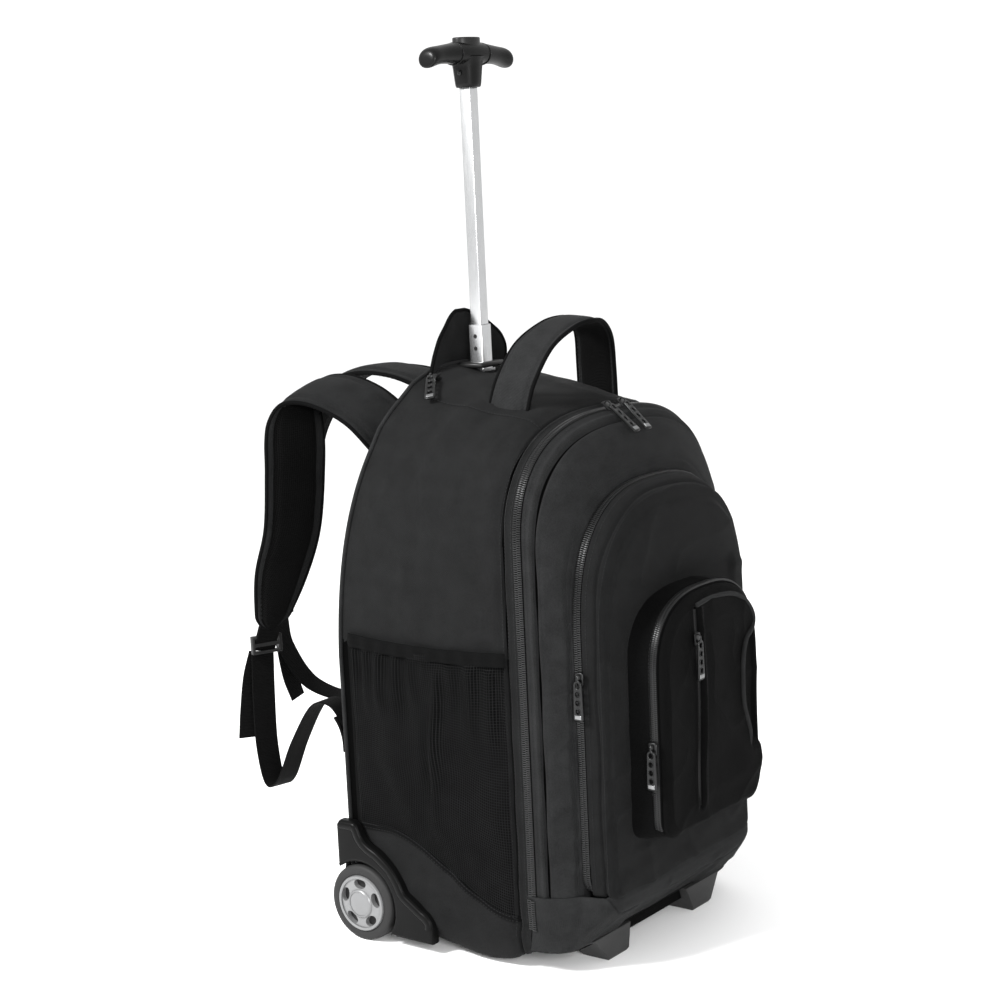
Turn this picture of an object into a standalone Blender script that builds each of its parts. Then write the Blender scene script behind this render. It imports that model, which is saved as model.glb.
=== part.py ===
"""Rolling laptop backpack with a telescoping pole, two wheels and shoulder straps.

Metres, +Z up, the front of the bag faces -Y. Shapes are written in bag coordinates, where the wheel
axle lies in the plane Y = 0 and the floor is Z = 0; the empty "bag_frame" then carries the whole
model to the object's own frame, whose origin is the centre of the footprint of its box.
"""

import math

import bmesh
import bpy
from mathutils import Matrix, Vector

# Frame
FRAME_Y = 0.0428          # from the axle plane to the centre of the object's box
GAP = 0.0003              # between touching pieces

# Wheels and axle
WHEEL_R = 0.038
TYRE_INNER_R = 0.028
HUB_R = 0.0277
AXLE_R = 0.004
WHEEL_IN = 0.1415         # inner and outer sides of a wheel, as distances from the centre plane
WHEEL_OUT = 0.1700
WELL_R = 0.0425
GUARD_IN = 0.1300
GUARD_PLATE = 0.1578      # inner side of the guard's plate, against the bag's side
GUARD_OUT = 0.1680
GUARD_BACK = 0.0265
GUARD_FOOT = 0.0120
DRUM_R = 0.0458

# Tub (the main bag shell) and the zip plane in front of it
WALL = 0.004
TUB_FRONT = -0.1955
TUB_HALF = 0.155
TUB_BOTTOM = 0.026
ARCH_SHOULDER = 0.400
ARCH_TOP = 0.513
BACK_HALF = 0.153
BACK_BOTTOM = 0.020
BACK_SHOULDER = 0.300
BACK_TOP = 0.553
BACK_Y = 0.028
BACK_LEAN = 0.050
BACK_LEAN_FROM = 0.280

# Zip chains and the panels that they close
CHAIN = 0.0037            # width of one half of a zip chain
CHAIN_RISE = 0.0014       # how far a chain stands proud of its panel
CHAIN_DEPTH = 0.0030
LID_BACK = -0.2043
LID_FRONT = -0.2400
LID_BOTTOM = 0.0735
COMP_BACK = -0.2487
COMP_FRONT = -0.2700
POUCH_BACK = -0.2704
POUCH_ZIP = -0.2940
POUCH_FRONT = -0.3080
LID_HINGE = (0.0, -0.2405, 0.0725)
COMP_HINGE = (0.0, -0.2510, 0.0760)
HOOD_HINGE = (0.0, -0.0240, 0.5495)

# Pole
POLE_Y = -0.0500
INNER_W = 0.0130
MIDDLE_W = 0.0160
OUTER_W = 0.0192
TUBE_WALL = 0.0010
POLE_BOTTOM = 0.0680
OUTER_TOP = 0.5480
MIDDLE_BOTTOM = 0.2500
INNER_BOTTOM = 0.5000
MIDDLE_RIM = 0.5900
COLLAR_BOTTOM = 0.8190
GRIP_Z = 0.8480
GRIP_HALF = 0.0635

FABRIC = ("fabric_black", (0.016, 0.016, 0.018), 0.85, 0.0)
MESH_CLOTH = ("mesh_black", (0.012, 0.012, 0.013), 0.90, 0.0)
WEBBING = ("webbing_black", (0.014, 0.014, 0.015), 0.80, 0.0)
PLASTIC = ("plastic_black", (0.030, 0.030, 0.032), 0.45, 0.0)
PLASTIC_GREY = ("plastic_grey", (0.050, 0.050, 0.052), 0.40, 0.0)
RUBBER = ("rubber_black", (0.020, 0.020, 0.021), 0.70, 0.0)
ALUMINIUM = ("aluminium", (0.760, 0.765, 0.775), 0.28, 1.0)
HUB_SILVER = ("hub_silver", (0.520, 0.525, 0.535), 0.38, 0.6)
STEEL = ("steel", (0.500, 0.500, 0.510), 0.35, 1.0)
GUNMETAL = ("gunmetal", (0.110, 0.110, 0.115), 0.35, 0.9)
BOARD = ("board_grey", (0.180, 0.180, 0.185), 0.60, 0.0)
FOAM = ("lining_grey", (0.090, 0.090, 0.095), 0.90, 0.0)


def clear_scene():
    for thing in list(bpy.data.objects):
        bpy.data.objects.remove(thing, do_unlink=True)


def material(finish):
    name, colour, roughness, metallic = finish
    found = bpy.data.materials.get(name)
    if found:
        return found
    made = bpy.data.materials.new(name)
    made.use_nodes = True
    shader = made.node_tree.nodes["Principled BSDF"]
    shader.inputs["Base Color"].default_value = (*colour, 1.0)
    shader.inputs["Roughness"].default_value = roughness
    shader.inputs["Metallic"].default_value = metallic
    made.diffuse_color = (*colour, 1.0)
    return made


# ---------------------------------------------------------------- mesh helpers

def solid(name, points, faces, finish, smooth=True):
    """A mesh object with its faces turned outward."""
    mesh = bpy.data.meshes.new(name)
    mesh.from_pydata([tuple(point) for point in points], [], faces)
    work = bmesh.new()
    work.from_mesh(mesh)
    bmesh.ops.recalc_face_normals(work, faces=work.faces)
    work.to_mesh(mesh)
    work.free()
    if smooth:
        mesh.shade_smooth()
        mesh.set_sharp_from_angle(angle=math.radians(35.0))
    mesh.materials.append(material(finish))
    thing = bpy.data.objects.new(name, mesh)
    bpy.context.scene.collection.objects.link(thing)
    return thing


def loft(name, rings, finish, smooth=True):
    """Rings of equally many points joined in turn, each end closed by a fan to its middle."""
    count = len(rings[0])
    points = [Vector(point) for ring in rings for point in ring]
    faces = []
    for row in range(len(rings) - 1):
        for k in range(count):
            near = row * count + k
            beside = row * count + (k + 1) % count
            faces.append((near, beside, beside + count, near + count))
    for row in (0, len(rings) - 1):
        middle = sum((Vector(point) for point in rings[row]), Vector()) / count
        points.append(middle)
        for k in range(count):
            faces.append((row * count + k, row * count + (k + 1) % count, len(points) - 1))
    return solid(name, points, faces, finish, smooth)


def ring_solid(name, sections, finish, smooth=True):
    """Sections of equally many points joined into a closed loop, such as a turned ring."""
    count = len(sections[0])
    points = [point for section in sections for point in section]
    faces = []
    for row in range(len(sections)):
        after = (row + 1) % len(sections)
        for k in range(count):
            beside = (k + 1) % count
            faces.append((row * count + k, row * count + beside,
                          after * count + beside, after * count + k))
    return solid(name, points, faces, finish, smooth)


def box(name, low, high, finish, bevel=0.0):
    points = [(x, y, z)
              for x in (low[0], high[0]) for y in (low[1], high[1]) for z in (low[2], high[2])]
    faces = [(0, 1, 3, 2), (4, 6, 7, 5), (0, 4, 5, 1), (2, 3, 7, 6), (0, 2, 6, 4), (1, 5, 7, 3)]
    thing = solid(name, points, faces, finish, smooth=False)
    if bevel:
        add_bevel(thing, bevel)
    return thing


def add_bevel(thing, width, segments=1):
    modifier = thing.modifiers.new("edge", "BEVEL")
    modifier.width = width
    modifier.segments = segments
    modifier.limit_method = "ANGLE"
    modifier.angle_limit = math.radians(40.0)


def add_thickness(thing, thickness, offset=0.0):
    modifier = thing.modifiers.new("thickness", "SOLIDIFY")
    modifier.thickness = thickness
    modifier.offset = offset


def as_cutter(thing):
    thing.hide_render = True
    thing.display_type = "WIRE"
    return thing


def cut(thing, cutter):
    as_cutter(cutter)
    modifier = thing.modifiers.new("cut", "BOOLEAN")
    modifier.operation = "DIFFERENCE"
    modifier.solver = "EXACT"
    modifier.object = cutter


def join(thing, other):
    as_cutter(other)
    modifier = thing.modifiers.new("join", "BOOLEAN")
    modifier.operation = "UNION"
    modifier.solver = "EXACT"
    modifier.object = other


def grid_sheet(name, surface, columns, rows, thickness, finish, offset=0.0):
    """A thin curved sheet: surface(u, v) for u and v from 0 to 1, thickened."""
    points = [surface(i / columns, j / rows) for j in range(rows + 1) for i in range(columns + 1)]
    faces = []
    for j in range(rows):
        for i in range(columns):
            corner = j * (columns + 1) + i
            faces.append((corner, corner + 1, corner + columns + 2, corner + columns + 1))
    thing = solid(name, points, faces, finish)
    add_thickness(thing, thickness, offset)
    return thing


def circle(radius, count, phase=0.0):
    turns = (phase + 2 * math.pi * k / count for k in range(count))
    return [(radius * math.cos(turn), radius * math.sin(turn)) for turn in turns]


def rod_x(name, radius, low, high, y, z, finish, count=16):
    ring = circle(radius, count)
    return loft(name, [[(x, y + a, z + b) for a, b in ring] for x in (low, high)], finish)


def rod_y(name, radius, low, high, x, z, finish, count=16):
    ring = circle(radius, count)
    return loft(name, [[(x + a, y, z + b) for a, b in ring] for y in (low, high)], finish)


def rod_z(name, radius, low, high, x, y, finish, count=16):
    ring = circle(radius, count)
    return loft(name, [[(x + a, y + b, z) for a, b in ring] for z in (low, high)], finish)


def turned_x(name, profile, side, finish, count=40):
    """A ring turned about the axle from a closed (radius, distance from the centre plane) profile."""
    sections = []
    for k in range(count):
        turn = 2 * math.pi * k / count
        sections.append([(side * out, r * math.cos(turn), WHEEL_R + r * math.sin(turn))
                         for r, out in profile])
    return ring_solid(name, sections, finish)


def spline(points, steps):
    """Points along a smooth curve through the given ones, ends included."""
    rows = [Vector(point) for point in points]
    rows = [2 * rows[0] - rows[1], *rows, 2 * rows[-1] - rows[-2]]
    made = []
    for k in range(1, len(rows) - 2):
        a, b, c, d = rows[k - 1:k + 3]
        for step in range(steps):
            t = step / steps
            made.append(0.5 * (2 * b + (c - a) * t + (2 * a - 5 * b + 4 * c - d) * t ** 2
                               + (3 * b - a - 3 * c + d) * t ** 3))
    made.append(rows[-2])
    return made


# ---------------------------------------------------------------- arched outlines

def arch(half, bottom, shoulder, top, corner=0.022, power=2.6):
    """A closed (x, z) outline: square foot with round corners, straight sides and a full round top."""
    right = [(0.0, bottom), (0.5 * half, bottom)]
    for step in range(5):
        turn = math.radians(-90 + 22.5 * step)
        right.append((half - corner + corner * math.cos(turn),
                      bottom + corner + corner * math.sin(turn)))
    for step in (1, 2):
        right.append((half, bottom + corner + (shoulder - bottom - corner) * step / 3))
    for step in range(11):
        turn = math.radians(9 * step)
        x = half * max(math.cos(turn), 0.0) ** (2 / power)
        right.append((x if step < 10 else 0.0, shoulder + (top - shoulder) * math.sin(turn) ** (2 / power)))
    left = [(-x, z) for x, z in reversed(right[1:-1])]
    return right + left


def mix(a, b, share):
    return a + (b - a) * share


def scaled(outline, share, centre_z):
    return [(x * share, centre_z + (z - centre_z) * share) for x, z in outline]


def back_y(z):
    """The back of the bag is upright low down and leans forward towards its top."""
    share = min(max((z - BACK_LEAN_FROM) / (BACK_TOP - BACK_LEAN_FROM), 0.0), 1.0)
    return BACK_Y - BACK_LEAN * share ** 1.5


def tub_rings(inset, front):
    """Rings of the tub from its front rim to the middle of its back, inset from the outer skin."""
    rings = []
    for share, scale in ((0.0, 1.0), (0.25, 1.0), (0.5, 1.0), (0.75, 1.0), (0.93, 0.995), (0.985, 0.975),
                         (1.0, 0.94), (1.0, 0.7), (1.0, 0.4), (1.0, 0.15)):
        belly = 0.002 * math.sin(math.pi * share)
        outline = arch(mix(TUB_HALF, BACK_HALF, share) + belly - inset,
                       mix(TUB_BOTTOM, BACK_BOTTOM, share) + inset,
                       mix(ARCH_SHOULDER, BACK_SHOULDER, share),
                       mix(ARCH_TOP, BACK_TOP, share) - inset)
        outline = scaled(outline, scale, 0.27)
        rings.append([(x, mix(front, back_y(z) - inset, share), z) for x, z in outline])
    return rings


def dish_rings(stations, inset):
    """Rings of a domed panel from (y, half, bottom, shoulder, top) stations, then across its front."""
    spread = [(*station, 1.0) for station in stations]
    spread += [(*stations[-1], scale) for scale in (0.75, 0.45, 0.18)]
    rings = []
    for y, half, bottom, shoulder, top, scale in spread:
        outline = arch(half - inset, bottom + inset, shoulder, top - inset)
        rings.append([(x, y, z) for x, z in scaled(outline, scale, 0.5 * (bottom + top))])
    return rings


def guard_outline(grow=0.0):
    """The wheel guard's outline in (y, z): back edge, top lobe, ridge over the wheel, front lobe."""
    ridge = spline([(0.004, 0.118, 0), (-0.004, 0.101, 0), (-0.020, 0.0935, 0), (-0.039, 0.0800, 0),
                    (-0.050, 0.064, 0), (-0.0555, 0.050, 0), (-0.063, 0.0415, 0), (-0.080, 0.0385, 0),
                    (-0.087, 0.030, 0)], 2)
    outline = [(GUARD_BACK, GUARD_FOOT), (GUARD_BACK, 0.114), (GUARD_BACK - 0.003, 0.118)]
    outline += [(point.x, point.y) for point in ridge]
    outline += [(-0.087, GUARD_FOOT)]
    return offset(outline, grow)


def offset(outline, grow):
    """The outline moved outward by grow, along the mean of the normals of each point's two edges."""
    moved = []
    for k, point in enumerate(outline):
        before = Vector(point) - Vector(outline[k - 1])
        after = Vector(outline[(k + 1) % len(outline)]) - Vector(point)
        normals = [Vector((edge.y, -edge.x)).normalized() for edge in (before, after)]
        middle = (normals[0] + normals[1]).normalized()
        moved.append(tuple(Vector(point) + middle * grow / max(middle.dot(normals[0]), 0.4)))
    return moved


def guard_block(name, side, low, high, finish, grow=0.0):
    outline = guard_outline(grow)
    rings = [[(side * x, y, z) for y, z in outline] for x in (low, high)]
    return loft(name, rings, finish, smooth=False)


def drum_arc(radius, first, last):
    """Points of an arc over the wheel's centre, in (y, z)."""
    turns = [mix(first, last, step / 12) for step in range(13)]
    return [(radius * math.cos(turn), WHEEL_R + radius * math.sin(turn)) for turn in turns]


def well_block(name, side, low, radius, reach=0.08):
    """The space around a wheel: round over its top, open below and behind."""
    arc = drum_arc(radius, math.acos(GUARD_BACK / radius), math.pi)
    outline = [(reach, -0.02), (reach, arc[0][1]), *arc, (-radius, -0.02)]
    rings = [[(side * x, y, z) for y, z in outline] for x in (low, 0.2)]
    return loft(name, rings, FABRIC, smooth=False)


# ---------------------------------------------------------------- main bag

def main_shell():
    tub = loft("main_shell", tub_rings(0.0, TUB_FRONT), FABRIC)
    for side, word in ((-1, "left"), (1, "right")):
        cut(tub, well_block(f"cut_well_{word}", side, GUARD_IN - GAP, DRUM_R + GAP))
    hollow = loft("cut_hollow", tub_rings(WALL, TUB_FRONT - 0.02), FABRIC)
    for side, word in ((-1, "left"), (1, "right")):
        cut(hollow, well_block(f"cut_well_wall_{word}", side, GUARD_IN - GAP - WALL,
                               DRUM_R + GAP + WALL, 0.09))
    cut(tub, hollow)
    cut(tub, rod_x("cut_axle_way", 0.0055, -0.14, 0.14, 0.0, WHEEL_R, FABRIC, 12))
    reach = 0.5 * OUTER_W + GAP
    cut(tub, box("cut_pole_way", (-reach, POLE_Y - reach, 0.50), (reach, POLE_Y + reach, 0.58),
                 FABRIC))
    return tub


def front_base_band():
    """The padded band under the front opening, which the front panel's fabric hinge is sewn to."""
    band = box("front_base_band", (-0.152, -0.2380, 0.0262), (0.152, TUB_FRONT - GAP, 0.0715),
               FABRIC)
    add_bevel(band, 0.010, 2)
    return band


def boards():
    made = [grid_sheet("back_frame_board",
                       lambda u, v: (mix(-0.118, 0.118, u) * (1 - 0.35 * max(v - 0.6, 0) ** 2 * 6),
                                     back_y(mix(0.125, 0.47, v)) - WALL - 0.0025, mix(0.125, 0.47, v)),
                       2, 8, 0.002, BOARD)]
    outline = arch(0.128, 0.0620, 0.36, 0.500)
    rings = [[(x, y, z) for x, z in outline] for y in (-0.0830, -0.0805)]
    made.append(loft("lining_board", rings, BOARD, False))
    made.append(box("base_board", (-0.124, -0.188, 0.0560), (0.124, 0.0, 0.0590), BOARD, 0.0005))
    sleeve = box("laptop_sleeve", (-0.124, -0.1130, 0.0850), (0.124, -0.0835, 0.3600), FOAM)
    cut(sleeve, box("cut_sleeve", (-0.121, -0.1100, 0.0880), (0.121, -0.07, 0.37), FOAM))
    made.append(sleeve)
    return made


def mesh_pocket(side, word):
    """A net pocket on the bag's side, closed below and at both ends and open along its top."""
    def foot(y):
        share = min(max((0.004 - y) / 0.19, 0.0), 1.0)
        return 0.1000 - 0.062 * math.sin(0.5 * math.pi * share) ** 1.1

    def surface(u, v):
        y = mix(0.004, -0.188, u)
        z = mix(foot(y), 0.3055, v)
        swell = min(1.0, math.sin(math.pi * u) ** 0.45 * min(1.0, 2.5 * v + 0.02) ** 0.5)
        x = TUB_HALF + 0.0036 + 0.0090 * swell
        return (side * x, y, z)

    pocket = grid_sheet(f"mesh_pocket_{word}", surface, 14, 8, 0.0014, MESH_CLOTH)
    cut(pocket, guard_block(f"cut_pocket_{word}", side, 0.14, 0.2, FABRIC, GAP))
    return pocket


def grab_handle():
    """The padded carrying loop sewn across the top, with its two feet."""
    centre = [(-0.072, -0.1370, 0.5215), (-0.067, -0.141, 0.5450), (-0.050, -0.151, 0.5760),
              (-0.024, -0.161, 0.5930), (0.0, -0.165, 0.5970)]
    centre += [(-x, y, z) for x, y, z in reversed(centre[:-1])]
    path = spline(centre, 3)

    def surface(u, v):
        point = path[round(v * (len(path) - 1))]
        return (point.x, point.y + mix(-0.022, 0.022, u), point.z + mix(-0.0012, 0.0012, u))

    return grid_sheet("grab_handle", surface, 2, len(path) - 1, 0.0055, WEBBING)


def hood():
    """The pointed flap that covers the pole's mouth, here standing up behind the pole."""
    def surface(u, v):
        half = 0.060 * (1 - v) ** 0.75 + 0.008 * v
        x = mix(-half, half + 0.014 * math.sin(math.pi * v), u)
        return (x, -0.0240 - 0.004 * v - 3.0 * x * x, 0.5500 + 0.0540 * v - 0.9 * x * x * (1 - v))

    return grid_sheet("pole_hood", surface, 6, 5, 0.0030, FABRIC)


def pad_strap(name, stations, width, thickness, finish, steps=3):
    """A flat strap along a smooth route of (x, y, z, turn and tilt of its width, width share)."""
    route = spline([station[:3] for station in stations], steps)
    widths = spline([(math.radians(turn), math.radians(tilt), share)
                     for *_, turn, tilt, share in stations], steps)

    def surface(u, v):
        k = round(v * (len(route) - 1))
        turn, tilt, share = widths[k]
        across = Vector((math.cos(turn) * math.cos(tilt), math.sin(turn) * math.cos(tilt),
                         math.sin(tilt)))
        return route[k] + across * width * share * (u - 0.5)

    return grid_sheet(name, surface, 2, len(route) - 1, thickness, finish)


NEAR_PAD = [(-0.0470, 0.0110, 0.470, 0, 48, 1.0), (-0.0510, 0.0330, 0.490, 6, 46, 1.0),
            (-0.0560, 0.0570, 0.511, 10, 32, 1.0), (-0.0620, 0.0820, 0.5235, 14, 26, 1.0),
            (-0.0710, 0.1060, 0.5285, 14, 17, 1.0), (-0.0820, 0.1190, 0.5240, 6, 10, 1.0),
            (-0.0930, 0.1180, 0.5080, -8, 8, 1.0), (-0.0980, 0.1150, 0.4860, -18, 6, 1.0),
            (-0.0970, 0.1180, 0.4500, -18, 2, 1.0), (-0.1000, 0.1240, 0.3900, -18, -6, 0.95),
            (-0.1090, 0.1360, 0.3400, -24, -8, 0.82), (-0.1150, 0.1490, 0.2880, -24, 0, 0.46)]
FAR_PAD = [(0.0360, 0.0080, 0.503, 0, 0, 1.0), (0.0340, 0.0300, 0.523, 0, 0, 1.0),
           (0.0280, 0.0700, 0.537, 0, 0, 1.0), (0.0180, 0.1150, 0.537, 2, 0, 1.0),
           (0.0080, 0.1550, 0.516, 2, 0, 0.96), (0.0000, 0.1830, 0.476, 2, 0, 0.90),
           (-0.0040, 0.1960, 0.430, 2, 0, 0.90), (-0.0070, 0.2040, 0.382, 2, 0, 0.86),
           (-0.0100, 0.2150, 0.330, 0, 0, 0.76), (-0.0130, 0.2260, 0.296, 0, 0, 0.50)]
NEAR_WEB = [(-0.117, 0.1610, 0.2600, -24, 0, 1.0), (-0.118, 0.1620, 0.215, -24, 0, 1.0),
            (-0.120, 0.1600, 0.165, -22, 0, 1.0), (-0.124, 0.1480, 0.128, -16, 0, 1.0),
            (-0.128, 0.1280, 0.135, -10, 0, 1.0), (-0.132, 0.1020, 0.180, -6, 0, 1.0),
            (-0.134, 0.0720, 0.222, 0, 0, 1.0), (-0.134, 0.0480, 0.226, 0, 0, 1.0),
            (-0.134, 0.0335, 0.208, 0, 0, 1.0)]
FAR_WEB = [(-0.015, 0.2300, 0.270, 0, 0, 1.0), (-0.010, 0.2270, 0.235, 2, 0, 1.0),
           (0.012, 0.2120, 0.192, 4, 0, 1.0), (0.048, 0.1780, 0.172, 4, 0, 1.0),
           (0.086, 0.1300, 0.180, 0, 0, 1.0), (0.114, 0.0860, 0.205, 0, 0, 1.0),
           (0.130, 0.0520, 0.222, 0, 0, 1.0), (0.134, 0.0335, 0.208, 0, 0, 1.0)]


def ladder_lock(name, x, y, z, angle):
    """The four-bar strap adjuster: a frame with two slots, held between the pad and the webbing."""
    frame = box(name, (-0.0165, -0.0030, -0.0095), (0.0165, 0.0030, 0.0095), PLASTIC)
    for k, low in enumerate((-0.0065, 0.0020)):
        cut(frame, box(f"cut_{name}_{k}", (-0.0130, -0.01, low), (0.0130, 0.01, low + 0.0045), PLASTIC))
    turn = Matrix.Translation((x, y, z)) @ Matrix.Rotation(math.radians(angle), 4, "Z")
    for thing in (frame, *(bpy.data.objects[f"cut_{name}_{k}"] for k in (0, 1))):
        thing.data.transform(turn)
    return frame


def shoulder_straps():
    return [
        pad_strap("shoulder_pad_left", NEAR_PAD, 0.066, 0.0100, FABRIC),
        pad_strap("shoulder_pad_right", FAR_PAD, 0.066, 0.0100, FABRIC),
        pad_strap("strap_webbing_left", NEAR_WEB, 0.025, 0.0018, WEBBING),
        pad_strap("strap_webbing_right", FAR_WEB, 0.025, 0.0018, WEBBING),
        ladder_lock("strap_adjuster_left", -0.1155, 0.1560, 0.2705, -24),
        ladder_lock("strap_adjuster_right", -0.0140, 0.2280, 0.2820, 0),
    ]


# ---------------------------------------------------------------- base, wheels and foot

def wheel_guard(side, word):
    """A moulded corner plate on the bag's side, with a drum around the wheel behind it."""
    guard = guard_block(f"wheel_guard_{word}", side, GUARD_PLATE, GUARD_OUT, PLASTIC)
    back, foot = GUARD_BACK - 0.001, GUARD_FOOT + 0.001
    arc = drum_arc(DRUM_R, math.acos(back / DRUM_R),
                   math.pi + math.asin((WHEEL_R - foot) / DRUM_R))
    outline = [(back, foot), *arc]
    rings = [[(side * x, y, z) for y, z in outline] for x in (GUARD_IN, GUARD_OUT - 0.003)]
    join(guard, loft(f"join_drum_{word}", rings, PLASTIC, False))
    cut(guard, well_block(f"cut_wheel_well_{word}", side, GUARD_IN + 0.004, WELL_R))
    cut(guard, rod_x(f"cut_guard_axle_{word}", AXLE_R + GAP, *sorted((side * 0.12, side * 0.15)),
                     0.0, WHEEL_R, PLASTIC, 16))
    return guard


def wheel(side, word):
    """Hub with five recesses, tyre, bush and centre cap, all about the axle."""
    hub = turned_x(f"wheel_hub_{word}",
                   [(0.0083, 0.1425), (0.0265, 0.1425), (HUB_R, 0.1435), (HUB_R, 0.1685),
                    (0.0262, WHEEL_OUT), (0.0112, WHEEL_OUT), (0.0108, 0.1655), (0.0083, 0.1655)],
                   side, HUB_SILVER)
    for k in range(5):
        turn = math.radians(90 + 72 * k)
        spoke = Vector((0.0, 0.0188 * math.cos(turn), WHEEL_R + 0.0188 * math.sin(turn)))
        along = Vector((0.0, -math.sin(turn), math.cos(turn)))
        out = Vector((0.0, math.cos(turn), math.sin(turn)))
        rings = []
        for x in sorted((side * 0.1640, side * 0.18)):
            rings.append([spoke + Vector((x, 0, 0)) + along * a * 0.0046 + out * b * 0.0030
                          for a, b in circle(1.0, 12)])
        cut(hub, loft(f"cut_hub_{word}_{k}", rings, HUB_SILVER))
    tyre = turned_x(f"tyre_{word}",
                    [(TYRE_INNER_R, 0.1435), (0.0350, WHEEL_IN), (0.0372, 0.1432), (WHEEL_R, 0.1465),
                     (WHEEL_R, 0.1640), (0.0372, 0.1670), (0.0350, 0.1685), (TYRE_INNER_R, 0.1675)],
                    side, RUBBER)
    bush = turned_x(f"wheel_bush_{word}",
                    [(0.0043, 0.1430), (0.0080, 0.1430), (0.0080, 0.1650), (0.0043, 0.1650)],
                    side, PLASTIC_GREY, 20)
    cap = turned_x(f"hub_cap_{word}",
                   [(0.0012, 0.1695), (0.0100, 0.1695), (0.0105, 0.1700), (0.0090, 0.1712),
                    (0.0012, 0.1716)], side, HUB_SILVER, 24)
    return [hub, tyre, bush, cap]


def axle_set():
    carrier = box("axle_carrier", (-0.118, -0.0130, 0.0275), (0.118, 0.0130, 0.0555), PLASTIC_GREY, 0.001)
    cut(carrier, rod_x("cut_carrier", AXLE_R + GAP, -0.13, 0.13, 0.0, WHEEL_R, PLASTIC, 16))
    return [carrier, rod_x("wheel_axle", AXLE_R, -0.1682, 0.1682, 0.0, WHEEL_R, STEEL, 16)]


def front_foot():
    """The stand: two flared legs joined by a recessed bar."""
    foot = box("front_foot", (-0.060, -0.2270, 0.0120), (0.060, -0.2000, 0.0257), PLASTIC_GREY)
    levels = ((0.0, 0.0600, 0.0905, -0.2375, -0.2080), (0.003, 0.0580, 0.0925, -0.2395, -0.2060),
              (0.0257, 0.0500, 0.1120, -0.2370, -0.1960))
    for side, word in ((-1, "left"), (1, "right")):
        rings = []
        for z, near, far, front, back in levels:
            corners = ((near, front), (far, front), (far, back), (near, back))
            rings.append([(side * x, y, z) for x, y in corners])
        join(foot, loft(f"join_leg_{word}", rings, PLASTIC_GREY, False))
    return foot


def screw(name, centre, radius, height, direction):
    """A pan-head screw's visible head, flat on its seat; direction is its outward normal."""
    outward = Vector(direction).normalized()
    turn = outward.to_track_quat("Z", "Y").to_matrix().to_4x4()
    profile = ((radius, 0.0), (radius, 0.55 * height), (0.6 * radius, height))
    rings = [[(a, b, z) for a, b in circle(r, 10)] for r, z in profile]
    head = loft(name, rings, STEEL)
    head.data.transform(Matrix.Translation(centre) @ turn)
    return head


def pole():
    """Three square tubes, one inside the next, with their collars, plugs and stops."""
    def tube(name, width, low, high, finish):
        outer, inner = 0.5 * width, 0.5 * width - TUBE_WALL
        corners = ((-1, -1), (1, -1), (1, 1), (-1, 1))
        shape = [[(x * r, POLE_Y + y * r, z) for x, y in corners]
                 for r, z in ((outer, low), (outer, high), (inner, high), (inner, low))]
        return ring_solid(name, shape, finish, smooth=False)

    outer = tube("outer_tube", OUTER_W, POLE_BOTTOM + 0.0040, OUTER_TOP - 0.001, ALUMINIUM)
    middle = tube("middle_tube", MIDDLE_W, MIDDLE_BOTTOM, MIDDLE_RIM, ALUMINIUM)
    inner = tube("inner_tube", INNER_W, INNER_BOTTOM, GRIP_Z - 0.012, ALUMINIUM)
    reach = 0.5 * MIDDLE_W + GAP
    mouth = box("pole_mouth", (-0.019, POLE_Y - 0.015, OUTER_TOP + 0.0007),
                (0.019, POLE_Y + 0.015, OUTER_TOP + 0.0060), PLASTIC, 0.0015)
    cut(mouth, box("cut_mouth", (-reach, POLE_Y - reach, 0.5), (reach, POLE_Y + reach, 0.6), PLASTIC))
    socket = box("pole_socket", (-0.022, POLE_Y - 0.018, 0.0595), (0.022, POLE_Y + 0.018, 0.0950),
                 PLASTIC_GREY, 0.0015)
    reach = 0.5 * OUTER_W + GAP
    cut(socket, box("cut_socket", (-reach, POLE_Y - reach, POLE_BOTTOM),
                    (reach, POLE_Y + reach, 0.12), PLASTIC))
    inside = 0.5 * INNER_W - TUBE_WALL - GAP
    plug = box("inner_tube_plug", (-inside, POLE_Y - inside, INNER_BOTTOM + 0.001),
               (inside, POLE_Y + inside, INNER_BOTTOM + 0.018), PLASTIC_GREY, 0.0008)
    bore = 0.0030 + GAP
    cut(plug, rod_z("cut_plug", bore, INNER_BOTTOM - 0.01, INNER_BOTTOM + 0.03, 0.0, POLE_Y, PLASTIC, 12))
    wide = 0.5 * MIDDLE_W - TUBE_WALL - GAP
    stop = box("middle_tube_plug", (-wide, POLE_Y - wide, MIDDLE_BOTTOM + 0.001),
               (wide, POLE_Y + wide, MIDDLE_BOTTOM + 0.015), PLASTIC_GREY, 0.0008)
    return [outer, middle, inner, mouth, socket, plug, stop]


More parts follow.
